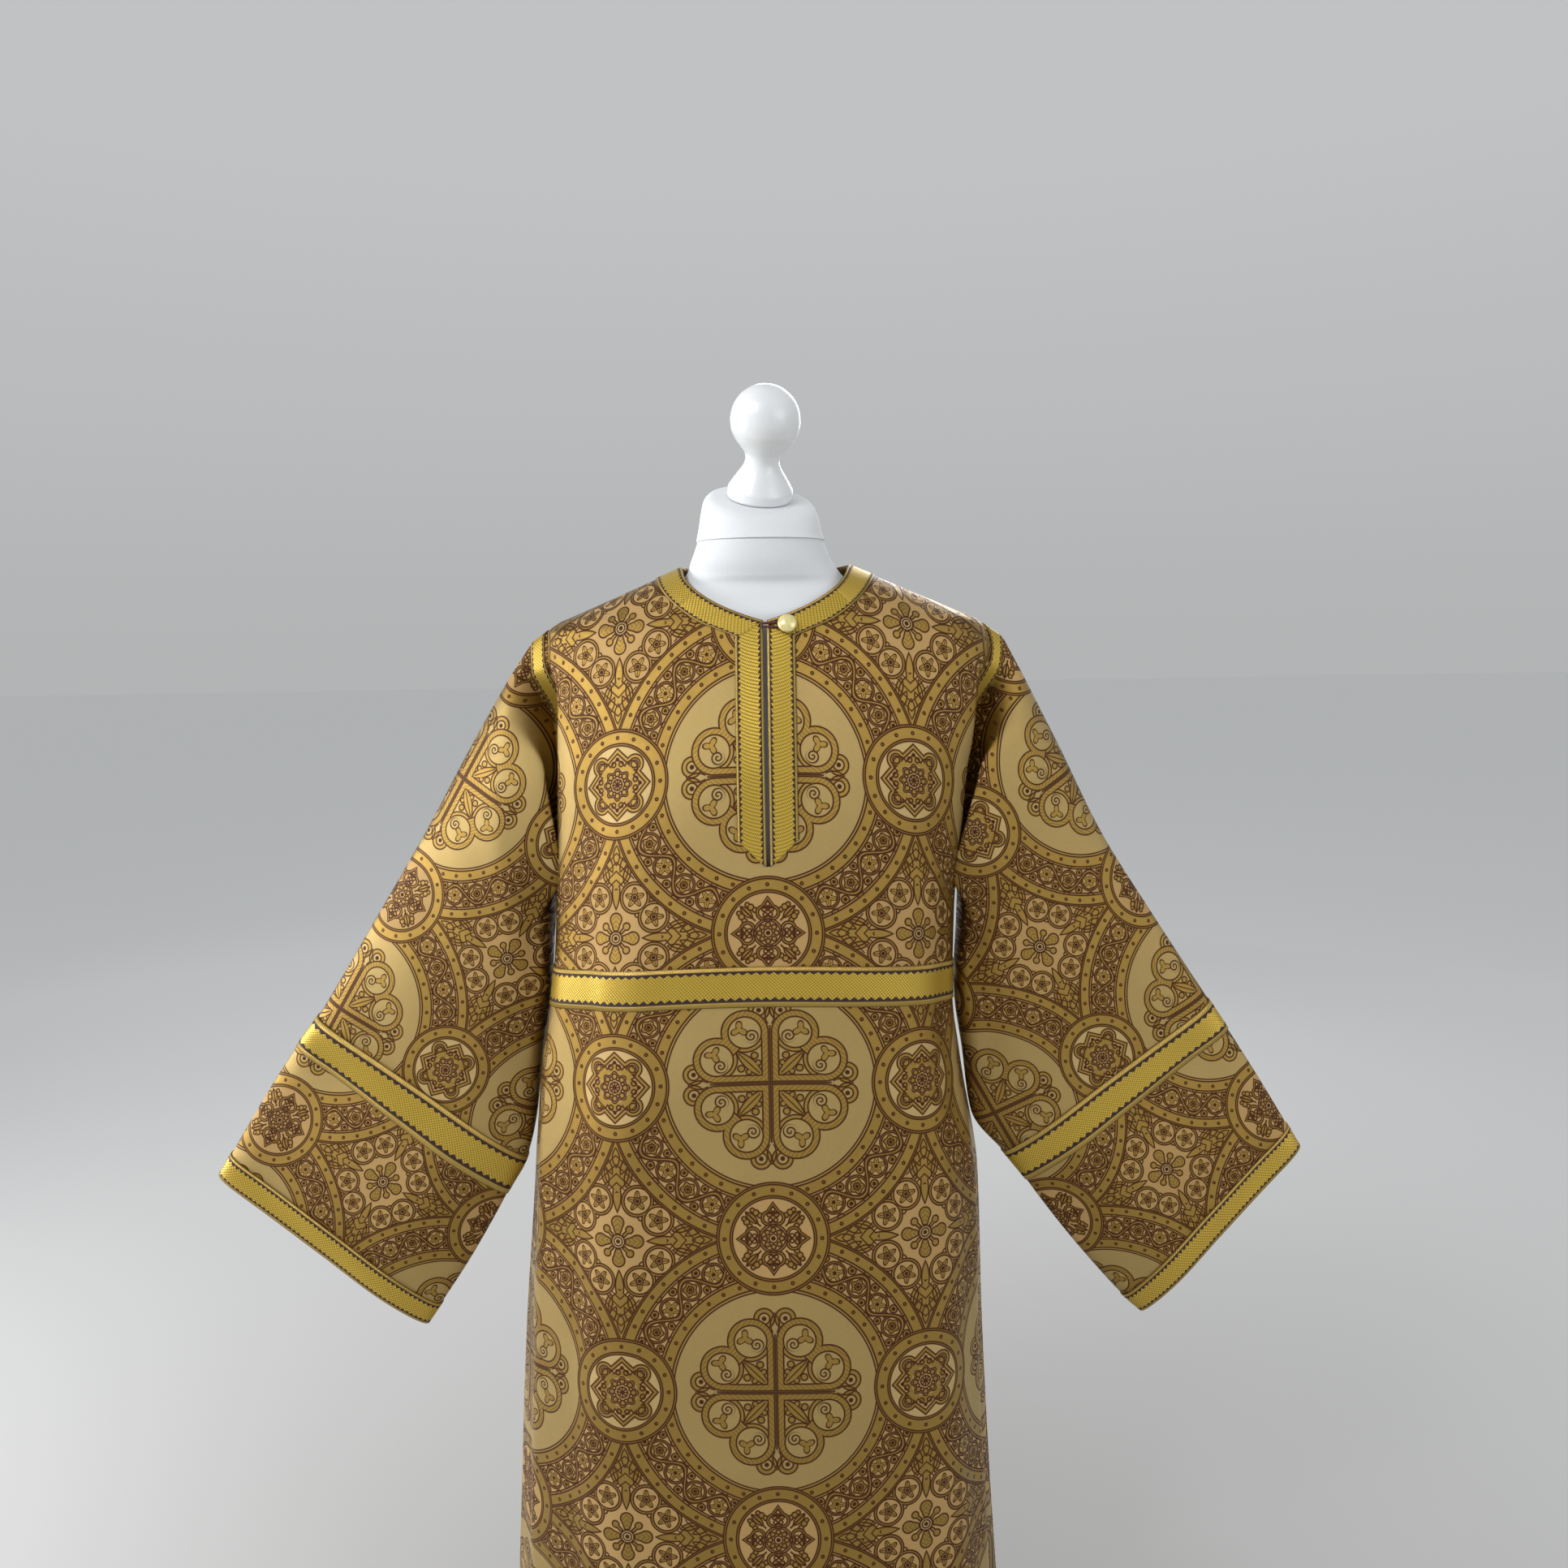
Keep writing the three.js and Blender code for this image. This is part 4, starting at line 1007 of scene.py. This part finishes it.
# %% Its wrong side: the same threads, without the figure's contrast
brocade_wrong_side, shader = new_finish("brocade_wrong_side", 0.62)
u, v, uv_vector = flat_place()
streaks = mottle(uv_vector, 4.0, (10, 160, 1))
figure = inked(abs(length(u - rounded(u), v - rounded(v)) - 0.43) - 0.05, 0.0, 0.01)
color = mixed(shade(112, 98, 52), shade(156, 138, 84), streaks)
join(mixed(color, shade(104, 78, 44), figure * 0.6), shader.inputs["Base Color"])
relief(streaks, 0.0002, shader)
print("wrong side nodes", len(brocade_wrong_side.node_tree.nodes))

# %% [markdown]
# ## Galloon
#
# The braid is woven of yellow metal thread with a lattice of small diamonds. Near each edge runs a dark
# line with teeth, and outside it a corded gold edge. The strip's UV map is in metres, so the figures below
# are the real sizes of the teeth in millimetres.

# %% The braid's finish
BRAID_NARROW, BRAID_WIDE = 28, 42
LATTICE_PITCH = 3.6


def galloon(name, half_width, edging, tooth_pitch, tooth_height, dark_line):
    """Lattice field, toothed dark line and corded edge, all by distance from the strip's middle line."""
    material, shader = new_finish(name, 0.36)
    along, across, uv_vector = flat_place()
    along, across = along * 1000.0, abs(across * 1000.0)
    field_edge = stripes(along * (1 / tooth_pitch), 2.0) * tooth_height
    field_edge = field_edge + (half_width - edging - dark_line - tooth_height)
    dark = inked((field_edge - across) & (across - (half_width - edging)), 0.0, 0.35)
    outline = inked(double(across - half_width + 0.25 + edging / 2, edging / 2), 0.28, 0.3)
    cord = inked(half_width - edging + 0.15 - across, 0.0, 0.3)
    diamond = math.pi / LATTICE_PITCH
    lattice = abs(sine((along + across) * diamond) * sine((along - across) * diamond))
    twist = stripes(along * 0.62 + across * 0.25, 2.0)
    tone = mottle(uv_vector, 40.0)
    field = mixed(shade(124, 92, 20), shade(224, 194, 80), lattice * 0.9 + 0.1)
    corded = mixed(shade(128, 98, 40), shade(214, 182, 92), twist)
    color = coated(
        field,
        (shade(190, 156, 50), tone * 0.3),
        (corded, cord),
        (shade(40, 14, 6), dark),
        (shade(90, 62, 22), outline * 0.8),
    )
    join(color, shader.inputs["Base Color"])
    join((1.0 - dark) * 0.55, shader.inputs["Metallic"])
    join(0.34 + dark * 0.3 + tone * 0.1, shader.inputs["Roughness"])
    relief((lattice * 0.6 + cord * twist) * (1.0 - dark), 0.00035, shader)
    print(name, "nodes", len(material.node_tree.nodes))
    return material


galloon_narrow = galloon("galloon_narrow", BRAID_NARROW / 2, 2.2, 5.9, 2.6, 0.8)
galloon_wide = galloon("galloon_wide", BRAID_WIDE / 2, 4.4, 8.8, 3.0, 1.8)

# %% [markdown]
# ## Button, cord, form and stand
#
# The button is pearly plastic, so it gets a clear coat. The form's cover is a matt stretch knit with a
# very fine rib, and the knob under its lacquer is smooth with a faint unevenness in its gloss.

# %% Small finishes
button_pearl, shader, _ = mottled_finish("button_pearl", 0.28, 180.0, (196, 176, 96), (244, 236, 176), 0.25)
preset(shader, Coat_Weight=0.6, Coat_Roughness=0.12)

loop_maroon, shader = new_finish("loop_maroon", 0.6)
around, along, _ = flat_place()
strands = stripes(along * 620.0 + around * 2.0, 2.0)
join(mixed(shade(40, 8, 16), shade(104, 36, 46), strands), shader.inputs["Base Color"])
relief(strands, 0.0003, shader)

form_cover, shader, _ = mottled_finish("form_cover", 0.85, 9.0, (208, 211, 214), (222, 224, 226))
preset(shader, Sheen_Weight=0.1)
relief(mottle(place_on_object(), 900.0, (1, 1, 0.35), 1.0), 0.00025, shader)

knob_lacquer, shader, tone = mottled_finish("knob_lacquer", 0.3, 22.0, (212, 214, 216), (224, 226, 227))
join(0.26 + tone * 0.16, shader.inputs["Roughness"])
preset(shader, Coat_Weight=0.35, Coat_Roughness=0.2)

stand_enamel, shader, tone = mottled_finish("stand_enamel", 0.35, 60.0, (214, 214, 212), (226, 226, 224))
join(0.3 + tone * 0.15, shader.inputs["Roughness"])
relief(tone, 0.0002, shader)
print("finishes ready")


# %% [markdown]
# ## Front and back panels
#
# On the real garment these are the two great lengths of brocade. The grid below follows the rows of the
# cloth, 5 to 6 mm apart, so that the fold table shows as smooth waves. The slit is an opening in the
# front's middle, so the front is two grids side by side above the slit's foot, joined below it.
#
# The flat place of a point is its length from the middle line, and its height corrected for the sag of
# the weft. Both are counted in repeats of the woven pattern, whose large medallions lie on the middle.

# %% The flat place of the body's cloth, in repeats of the pattern
repeat_across = curve([1060, 1150, 1300, 1450], [318, 310, 297, 288])      # the chest's cloth is eased in
MIDDLE_X = -1.5          # the pattern's middle line against the garment's
MEDALLION_Z = [1306 + 3 * 303, 1306, 1149, 996, 834, 670, 508, 344, 20]
MEDALLION_V = [4, 1, 0.5, 0, -0.5, -1, -1.5, -2, -3]
repeat_row = curve(MEDALLION_Z, MEDALLION_V)
sag_of_weft = curve([0, 104, 1045, 1600], [8, 8, 29, 29])


def body_uv(run, w, z):
    """Across: length from the middle over the repeat. Up: height plus weft sag x share squared."""
    across = (run - MIDDLE_X) / repeat_across(z)
    return np.stack([across, repeat_row(z + sag_of_weft(z) * w * w)], -1)


def body_grid(face, k, w):
    """Points and flat places for rows k and shares w of one face."""
    points, run = body(face, k, w)
    return points, body_uv(run, w, points[..., 2])


print("medallion rows", MEDALLION_Z[1:6])

# %% Front, with its slit, and back
PANEL_ROWS, SLIT_ROWS, HALF_COLUMNS = 230, 90, 74
SLIT_HALF = 1.9
by_slit = np.linspace(0, SLIT_ROW, SLIT_ROWS)
below_slit = np.linspace(SLIT_ROW, HEM_ROW, PANEL_ROWS - SLIT_ROWS + 1)[1:]
rows = np.concatenate([by_slit, below_slit])


def half_shares(side):
    """Shares from the slit's edge to the seam for every row, evenly spread."""
    start = share_at(rows, SLIT_HALF, side)[:, None]
    return start + (1 - start) * np.linspace(0, 1, HALF_COLUMNS)


def add_cloth(mesh, node):
    """A sheet of brocade with its wrong side, as thick as the real cloth."""
    return thicken(add_piece(mesh, "brocade", [brocade, brocade_wrong_side], node), CLOTH, inner=1)


shares = np.concatenate([-half_shares("left")[:, ::-1], half_shares("right")], 1)
front_mesh = grid_mesh("front_panel_cloth", *body_grid("front", rows[:, None], shares), flip=True)
slit = bmesh.new()
slit.from_mesh(front_mesh)
slit.faces.ensure_lookup_table()
middle = [slit.faces[i * (2 * HALF_COLUMNS - 1) + HALF_COLUMNS - 1] for i in range(SLIT_ROWS - 1)]
bmesh.ops.delete(slit, geom=middle, context="FACES_ONLY")
slit.to_mesh(front_mesh)
slit.free()
front = add_cloth(front_mesh, "front_panel")

back_rows = np.linspace(0, HEM_ROW, PANEL_ROWS)[:, None]
back_shares = np.linspace(-1, 1, 2 * HALF_COLUMNS - 10)
back = add_cloth(grid_mesh("back_panel_cloth", *body_grid("back", back_rows, back_shares)), "back_panel")
print("front faces", len(front_mesh.polygons), "back faces", len(back.data.polygons))

# %% [markdown]
# ## Sleeves
#
# A sleeve is one closed grid round the arm, with its seam under the arm. The grain of the cloth runs along
# the sleeve, so the pattern is turned with it. The front layer's flat place is its place in the plane of
# the sleeve, and the back layer is its mirror image about the fold on top.

# %% Sleeve grids
SLEEVE_RINGS, SLEEVE_COLUMNS = 150, 144
SLEEVE_REPEAT = (262, 288)               # mm across and along the sleeve
GRAIN = {                # a rosette between medallions (x, z), and the way down the grain
    "left": (np.array([-279, 1106]), np.array([-0.51, -0.86])),
    "right": (np.array([284, 1110]), np.array([0.49, -0.87])),
}


def sleeve_uv(side, points, mirror_at=None):
    """Place in the sleeve's plane: along the grain and across it, in repeats, from one rosette."""
    origin, grain = GRAIN[side]
    weft = np.array([grain[1], -grain[0]]) * SIGN[side]
    flat = points[..., [0, 2]] - origin
    across = flat @ weft
    if mirror_at is not None:
        across = 2 * mirror_at - across
    uv = np.stack([0.5 + across / SLEEVE_REPEAT[0], 0.5 - flat @ grain / SLEEVE_REPEAT[1]], -1)
    return uv, across


by_armhole, along_sleeve = np.linspace(0, 1, 20), np.linspace(1, CUFF_RING, SLEEVE_RINGS - 19)[1:]
r = np.concatenate([by_armhole, along_sleeve])[:, None]
turn = np.arange(SLEEVE_COLUMNS) * 2 / SLEEVE_COLUMNS
by_front = (turn < 1)[None, :, None]
for side in ("left", "right"):
    points = sleeve(side, r, turn)
    uv_front, across = sleeve_uv(side, points)
    uv_back, _ = sleeve_uv(side, points, mirror_at=across[:, :1])
    uv_start = np.where(by_front, uv_front, uv_back)
    uv_end = np.where(by_front, np.roll(uv_front, -1, 1), np.roll(uv_back, -1, 1))
    name, flip = f"sleeve_{side}_cloth", side == "left"
    cloth = add_cloth(grid_mesh(name, points, uv_start, uv_end, closed=True, flip=flip), f"sleeve_{side}")
    print(cloth.name, len(cloth.data.polygons), "faces")

# %% [markdown]
# ## Galloon
#
# Galloon is a flat woven braid sewn on top of the cloth. A strip of it is a grid whose columns run along
# the braid and whose rows run across it, laid on the same surface as the cloth under it and lifted by the
# gap of the sewing. Its UV map holds the distance along and across the strip in metres, so that every
# length of braid has teeth of the same size.


# %% Strips
SEWING_GAP, ACROSS = 0.3, 9              # mm, and points across a strip
across_share = np.linspace(0, 1, ACROSS)[:, None]


def lifted(points, flip):
    """Points moved out along the grid's own normals, found from the differences between neighbours."""
    along, across = np.gradient(points, axis=1), np.gradient(points, axis=0)
    normal = np.cross(across, along) if flip else np.cross(along, across)
    return points + SEWING_GAP * normal / np.linalg.norm(normal, axis=-1, keepdims=True)


def strip_uv(points, width, start=0):
    """Along: the running length of each row, in metres. Across: from minus to plus half the width."""
    step = np.linalg.norm(np.diff(points, axis=1), axis=-1)
    along = np.zeros(points.shape[:2])
    along[:, 1:] = np.cumsum(step, 1)
    across = (across_share - 0.5) * width
    return np.stack([along + start, np.broadcast_to(across, along.shape)], -1) * MM


def strip(name, points, width, material, flip, closed=False, start=0):
    """A length of galloon on the given points, its running length counted from start in mm."""
    uv = strip_uv(points, width, start)
    points = lifted(points, flip)
    if closed:
        mesh = grid_mesh(name + "_braid", points[:, :-1], uv[:, :-1], uv[:, 1:], closed=True, flip=flip)
    else:
        mesh = grid_mesh(name + "_braid", points, uv, flip=flip)
    return thicken(add_piece(mesh, "galloon", [material], name), BRAID, outward=True)


for face, flip in (("front", True), ("back", False)):
    points = body(face, CHEST_ROW + across_share, np.linspace(-1, 1, 221))[0]
    strip(f"chest_braid_{face}", points, BRAID_WIDE, galloon_wide, flip)
print("chest band", BRAID_WIDE, "mm wide")

# %% Collar and slit, mitred into each other
COLLAR_JOIN = 0.32       # where the collar's front ends, as a share of the way out to the seam
from_middle = SLIT_HALF + BRAID_NARROW * across_share
join_share = {}
for side in ("left", "right"):
    mitre = share_at(across_share, from_middle, side)
    edge = share_at(across_share, SLIT_HALF + BRAID_NARROW, side)
    join_share[side] = edge + (1 - edge) * COLLAR_JOIN
    w = mitre + (join_share[side] - mitre) * np.linspace(0, 1, 40)
    points = body("front", across_share, SIGN[side] * w)[0]
    half = BRAID_NARROW / 2
    strip(f"collar_braid_{side}", points, BRAID_NARROW, galloon_narrow, side == "right", start=half)
    k = across_share + (SLIT_ROW - 2 * across_share) * np.linspace(0, 1, 150)
    points = body("front", k, SIGN[side] * share_at(k, from_middle, side))[0]
    strip(f"slit_braid_{side}", points, BRAID_NARROW, galloon_narrow, side == "left")
print("slit braid", BRAID_NARROW, "mm wide")

# %% The collar's back length, over both shoulders
parts = []
for face, start, end, count in (
    ("front", -join_share["left"], -1, 24),
    ("back", -1, 1, 121),
    ("front", 1, join_share["right"], 24),
):
    parts.append(body(face, across_share, start + (end - start) * np.linspace(0, 1, count))[0])
collar = np.concatenate([parts[0][:, :-1], parts[1], parts[2][:, 1:]], 1)
strip("collar_braid_back", collar, BRAID_NARROW, galloon_narrow, flip=False)
print("collar back length", round(strip_uv(collar, BRAID_NARROW)[ACROSS // 2, -1, 0] / MM), "mm")

# %% Rings of braid on the sleeves
turns = np.linspace(0, 2, 181)
for side in ("left", "right"):
    for name, first, last, width, material in (
        ("armhole", 0.15, 0.88, BRAID_NARROW, galloon_narrow),
        ("elbow", 6, 7, BRAID_WIDE, galloon_wide),
        ("cuff", 9, 10, BRAID_NARROW, galloon_narrow),
    ):
        ring = sleeve(side, first + (last - first) * across_share, turns)
        strip(f"{name}_braid_{side}", ring, width, material, side == "left", closed=True)
print("sleeve rings done")

# %% [markdown]
# ## Button and loop
#
# The button is a domed shank button, turned from one profile. Its loop is a thin cord that comes out of
# the left edge of the slit, goes round the shank and returns. A profile turned about an axis and a circle
# carried along a path are the two oldest ways to make a solid, and both are plain array sums.


# %% Turned shapes
def running(points):
    """Length along a path of points, counted from its start."""
    return np.concatenate([[0], np.cumsum(np.linalg.norm(np.diff(points, axis=0), axis=1))])


def circle(sides):
    """Cosines and sines of evenly spaced turns."""
    turns = np.arange(sides) * 2 * np.pi / sides
    return np.cos(turns), np.sin(turns)


def round_uv(sides, along):
    """Flat places on a round skin: the share of the way round, and a number along it."""
    return np.stack(np.broadcast_arrays(np.arange(sides + 1) / sides, along[:, None]), -1)


def turned(profile, steps, sides, centre, axis):
    """Profile points (radius, height) made fair, turned about a unit axis through centre, in mm."""
    profile = np.array(profile, float)
    knots = running(profile)
    at = np.unique(np.concatenate([np.linspace(0, knots[-1], steps), knots]))
    radius, height = (curve(knots, column)(at)[:, None, None] for column in profile.T)
    side = np.cross(axis, [0, 1, 0.001])
    side /= np.linalg.norm(side)
    c, s = circle(sides)
    ring = c[:, None] * side + s[:, None] * np.cross(axis, side)
    return centre + height * axis + radius * ring, round_uv(sides, at * MM)


def add_solid(name, points, uv, slot, material, node):
    """A closed skin from a grid whose first and last rows are single points or small caps."""
    mesh = grid_mesh(name, points, uv[:, :-1], uv[:, 1:], closed=True)
    work = bmesh.new()
    work.from_mesh(mesh)
    bmesh.ops.remove_doubles(work, verts=work.verts, dist=1e-6)
    bmesh.ops.holes_fill(work, edges=[edge for edge in work.edges if edge.is_boundary])
    bmesh.ops.recalc_face_normals(work, faces=work.faces)
    work.to_mesh(mesh)
    work.free()
    return add_piece(all_smooth(mesh), slot, [material], node)


BUTTON_X, BUTTON_ROW, STAND_OFF, NUDGE = 22, 0.42, 1.7, 0.01
share = share_at(BUTTON_ROW, BUTTON_X, "right")
seat = body("front", BUTTON_ROW, share)[0]
along = body("front", BUTTON_ROW, share + NUDGE)[0] - body("front", BUTTON_ROW, share - NUDGE)[0]
down_row = body("front", BUTTON_ROW + NUDGE, share)[0] - body("front", BUTTON_ROW - NUDGE, share)[0]
button_up = np.cross(down_row, along)
button_up /= np.linalg.norm(button_up)
BUTTON_PROFILE = [
    [0, 0], [2, 0], [2, 3.2], [3, 3.4], [7.8, 3.4], [9.1, 4.0], [9.5, 4.8], [9.2, 5.8], [8.4, 6.8],
    [6.8, 7.9], [4.6, 8.9], [2.2, 9.6], [0, 9.8],
]
points, uv = turned(BUTTON_PROFILE, 60, 64, seat + button_up * STAND_OFF, button_up)
add_solid("button_dome", points, uv, "button_shell", button_pearl, "button")
print("button faces", button_up.round(2))


# %% The cord loop
def piped(path, radius, sides):
    """A circle carried along a path: at each point it lies square to the path's direction."""
    direction = np.gradient(path, axis=0)
    direction /= np.linalg.norm(direction, axis=1, keepdims=True)
    side = np.cross(direction, button_up)
    side /= np.linalg.norm(side, axis=1, keepdims=True)
    c, s = (part[:, None] for part in circle(sides))
    ring = c * side[:, None] + s * np.cross(side, direction)[:, None]
    return path[:, None] + radius * ring, round_uv(sides, running(path) * MM)


LOOP_RADIUS, LOOP_SPREAD, LOOP_START = 1.2, 3.6, 3.8
across_dir = np.array([1, 0, 0]) - button_up * button_up[0]
across_dir /= np.linalg.norm(across_dir)
up_dir = np.cross(button_up, across_dir)
end = -(BUTTON_X + LOOP_START)
bend = np.pi / 2 - np.pi * np.arange(7) / 6
leg = np.array([[end, LOOP_SPREAD * 0.5], [end / 2, LOOP_SPREAD * 0.6]])
round_shank = LOOP_SPREAD * np.column_stack([np.cos(bend), np.sin(bend)])
knots = np.vstack([leg, round_shank, leg[::-1] * [1, -1]])
knot_run = running(knots)
run = np.linspace(0, knot_run[-1], 90)
flat_path = np.column_stack([curve(knot_run, column)(run) for column in knots.T])
path = seat + button_up * (STAND_OFF + LOOP_RADIUS) + flat_path @ np.array([across_dir, up_dir])
points, uv = piped(path, LOOP_RADIUS, 14)
add_solid("button_loop_cord", points, uv, "loop_cord", loop_maroon, "button_loop")
print("loop cord", round(knot_run[-1]), "mm long")

# %% [markdown]
# ## The dress form
#
# The form is a padded torso under a stretched white cover, left whole and smooth. Its neck ends in a
# turned cap, also covered, and a glossy turned knob stands on it and leans forward with the neck. The
# torso and cap are lofts: a table of level rings, each a squared ellipse, is made fair and skinned.

# %% Form rings: z, half, front, back, power, x, y, tilt, lean
TORSO = np.array([
    [780, 148, 92, 98, 2.2, 0, 0, 0, 0],
    [800, 162, 104, 108, 2.2, 0, 0, 0, 0],
    [900, 168, 110, 102, 2.3, 0, 0, 0, 0],
    [1000, 156, 102, 92, 2.3, 0, 0, 0, 0],
    [1080, 146, 96, 84, 2.3, 0, 0, 0, 0],
    [1180, 158, 102, 86, 2.3, 0, 0, 0, 0],
    [1270, 172, 108, 92, 2.3, 0, 0, 0, 0],
    [1330, 182, 103, 94, 2.3, 0, 0, 0, 0],
    [1380, 192, 92, 91, 2.3, 0, 0, 0, 0],
    [1420, 196, 80, 84, 2.3, 0, 0, 0, 0],
    [1446, 190, 73, 78, 2.2, 0, 0, 0, 0],
    [1462, 172, 69, 74, 2.2, 0, 0, 0, 0],
    [1478, 136, 60, 66, 2.2, 0, 0, 0, 0],
    [1492, 98, 56, 58, 2.2, -2, 0, 0, 0],
    [1504, 81, 57, 54, 2.2, -2, -4, 2, 0],
    [1520, 72, 57, 55, 2.2, -4, -10, 4, 0],
    [1537, 65, 57, 56, 2.2, -4, -14, 0, 0],
])
CAP = np.array([
    [1537.3, 66.5, 58.5, 57.5, 2.2, -4, -14, 0, 0],
    [1550, 63.5, 57, 56, 2.2, -4, -16, 11, 2],
    [1563, 61, 55, 55, 2.2, -4, -18, 19, 4],
    [1573, 57.5, 52, 52, 2.2, -4, -20, 23, 6],
    [1578.5, 50, 45, 45, 2.2, -4, -22, 24, 6],
    [1580.5, 40, 36, 36, 2.2, -4, -23, 24, 6],
])
FORM_SIDES = 112


def loft(rings, steps):
    """Rings made fair along their running number, each turned forward by tilt and sideways by lean."""
    number = np.arange(len(rings))
    at = np.linspace(0, len(rings) - 1, steps)[:, None]
    z, half, front, back, power, x, y, tilt, lean = (curve(number, rings[:, i])(at) for i in range(9))
    tilt, lean = np.radians(tilt), np.radians(lean)
    c, s = circle(FORM_SIDES)
    across = half * np.sign(c) * np.abs(c) ** (2 / power)
    depth = np.where(s < 0, front, back) * np.sign(s) * np.abs(s) ** (2 / power)
    points = np.stack([
        x + across * np.cos(lean),
        y + depth * np.cos(tilt),
        z + depth * np.sin(tilt) - across * np.sin(lean),
    ], -1)
    return points, round_uv(FORM_SIDES, at[:, 0])


add_solid("form_torso_cover", *loft(TORSO, 140), "form_cover", form_cover, "form_torso")
add_solid("form_neck_cover", *loft(CAP, 60), "form_cover", form_cover, "form_neck_cap")
print("neck", 2 * TORSO[-1, 1], "mm wide")

# %% Knob, pole and foot
GAP, UPRIGHT = 0.3, np.array([0.0, 0.0, 1.0])         # mm between two parts of the form
KNOB_PROFILE = [
    [0, 0], [31.5, 0], [33.5, 2.5], [33.5, 9], [30.5, 15], [24, 25], [19, 33], [17.3, 39], [18.6, 46],
    [23.5, 52.5], [30, 61], [34, 70], [35, 78.5], [33.6, 88], [28.5, 99], [19.5, 107.5], [9.5, 112.2],
    [0, 113.5],
]
tilt, lean = np.radians(CAP[-1, 7:])
knob_axis = np.array([np.sin(lean) * np.cos(tilt), -np.cos(lean) * np.sin(tilt), np.cos(lean) * np.cos(tilt)])
knob_axis /= np.linalg.norm(knob_axis)
knob_foot = CAP[-1, [5, 6, 0]] + GAP * knob_axis
points, uv = turned(KNOB_PROFILE, 90, 96, knob_foot, knob_axis)
add_solid("knob_turned", points, uv, "knob_lacquer", knob_lacquer, "form_knob")

FOOT_PROFILE = [[0, 0], [203, 0], [205, 3], [204, 8], [123, 13], [40, 16], [26, 26], [0, 26]]
points, uv = turned(FOOT_PROFILE, 60, 128, np.zeros(3), UPRIGHT)
add_solid("stand_foot", points, uv, "stand_metal", stand_enamel, "stand_base")
POLE_PROFILE = [[0, 26 + GAP], [14, 26 + GAP], [14, 780 - GAP], [0, 780 - GAP]]
points, uv = turned(POLE_PROFILE, 24, 48, np.zeros(3), UPRIGHT)
add_solid("stand_tube", points, uv, "stand_metal", stand_enamel, "stand_pole")
print("knob leans", knob_axis.round(2))

# %% [markdown]
# ## The sleeves' cloth objects
#
# Cloth is cut flat and then hung. This cell only looks up the two sleeves' cloth objects by name.

# %% Sheets
for side in ("left", "right"):
    cloth = bpy.data.objects[f"sleeve_{side}_cloth"]

# %% [markdown]
# ## Floor and light
#
# A plain floor, dark by the stand and paler with distance: painted light, so that the distant floor, which
# the lamps barely reach, meets the sky at the horizon. Four large soft lamps light the garment. The key is
# above and to the left, with a window's light low beside it. A weaker one fills from the right, and one
# behind keeps the back from going dark. The sky gives the rest.

# %% Stage
# Painted light on the floor: its colour is dark by the stand and palest from 4.5 m out.
EDGE, PAINTED_PALE_AT = 30, 4.5                  # metres from the middle
CORNERS = [(-1, -1), (1, -1), (1, 1), (-1, 1)]
floor_mesh = bpy.data.meshes.new("floor")
floor_mesh.from_pydata([(x * EDGE, y * EDGE, 0) for x, y in CORNERS], [], [(0, 1, 2, 3)])
floor = bpy.data.objects.new("floor", floor_mesh)
scene.collection.objects.link(floor)
floor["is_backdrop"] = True
floor_painted_light, shader = new_finish("floor_painted_light", 0.7)
# Painted light: the floor brightens with distance from the stand, so that the distant floor, which the lamps
# barely light, meets the sky at the horizon.
x, y, _ = split(place_on_object())
painted_distance_light = clamped(length(x, y) * (1 / PAINTED_PALE_AT))
join(mixed((0.34, 0.335, 0.33, 1), (0.8, 0.805, 0.81, 1), painted_distance_light), shader.inputs["Base Color"])
floor_mesh.materials.append(floor_painted_light)


def lamp(name, place, aimed_at, size, power):
    """A square soft lamp at place that faces the garment's middle line at the height aimed_at."""
    data = bpy.data.lights.new(name, "AREA")
    data.size, data.energy = size, power
    light = bpy.data.objects.new(name, data)
    light.location = place
    light.rotation_mode = "QUATERNION"
    light.rotation_quaternion = (Vector(place) - Vector((0, 0, aimed_at))).to_track_quat("Z", "Y")
    scene.collection.objects.link(light)


lamp("key", (-1.7, -2.0, 3.2), 1.1, 1.3, 47)
lamp("window", (-2.8, -0.2, 1.5), 1.1, 1.2, 65)
lamp("fill", (2.4, -2.0, 1.9), 1.0, 1.8, 27)
lamp("back_light", (0.6, 2.6, 2.6), 1.1, 1.6, 35)
world = bpy.data.worlds.new("room")
world.use_nodes = True
Number.tree = world.node_tree
sky = world.node_tree.nodes["Background"]
preset(sky, Strength=0.75)
direction = world.node_tree.nodes.new("ShaderNodeTexCoord").outputs["Generated"]
upwards = clamped(split(direction)[2] * 3.0)
join(mixed((0.6, 0.61, 0.615, 1), (0.7, 0.715, 0.725, 1), upwards), sky.inputs["Color"])
scene.world = world
scene.view_settings.view_transform = "Standard"

# %% Sizes, and the end
dressed_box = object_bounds()
for name, box in (("CAD", cad_box), ("dressed", dressed_box)):
    print(name, [round(value, 3) for corner in box for value in corner])
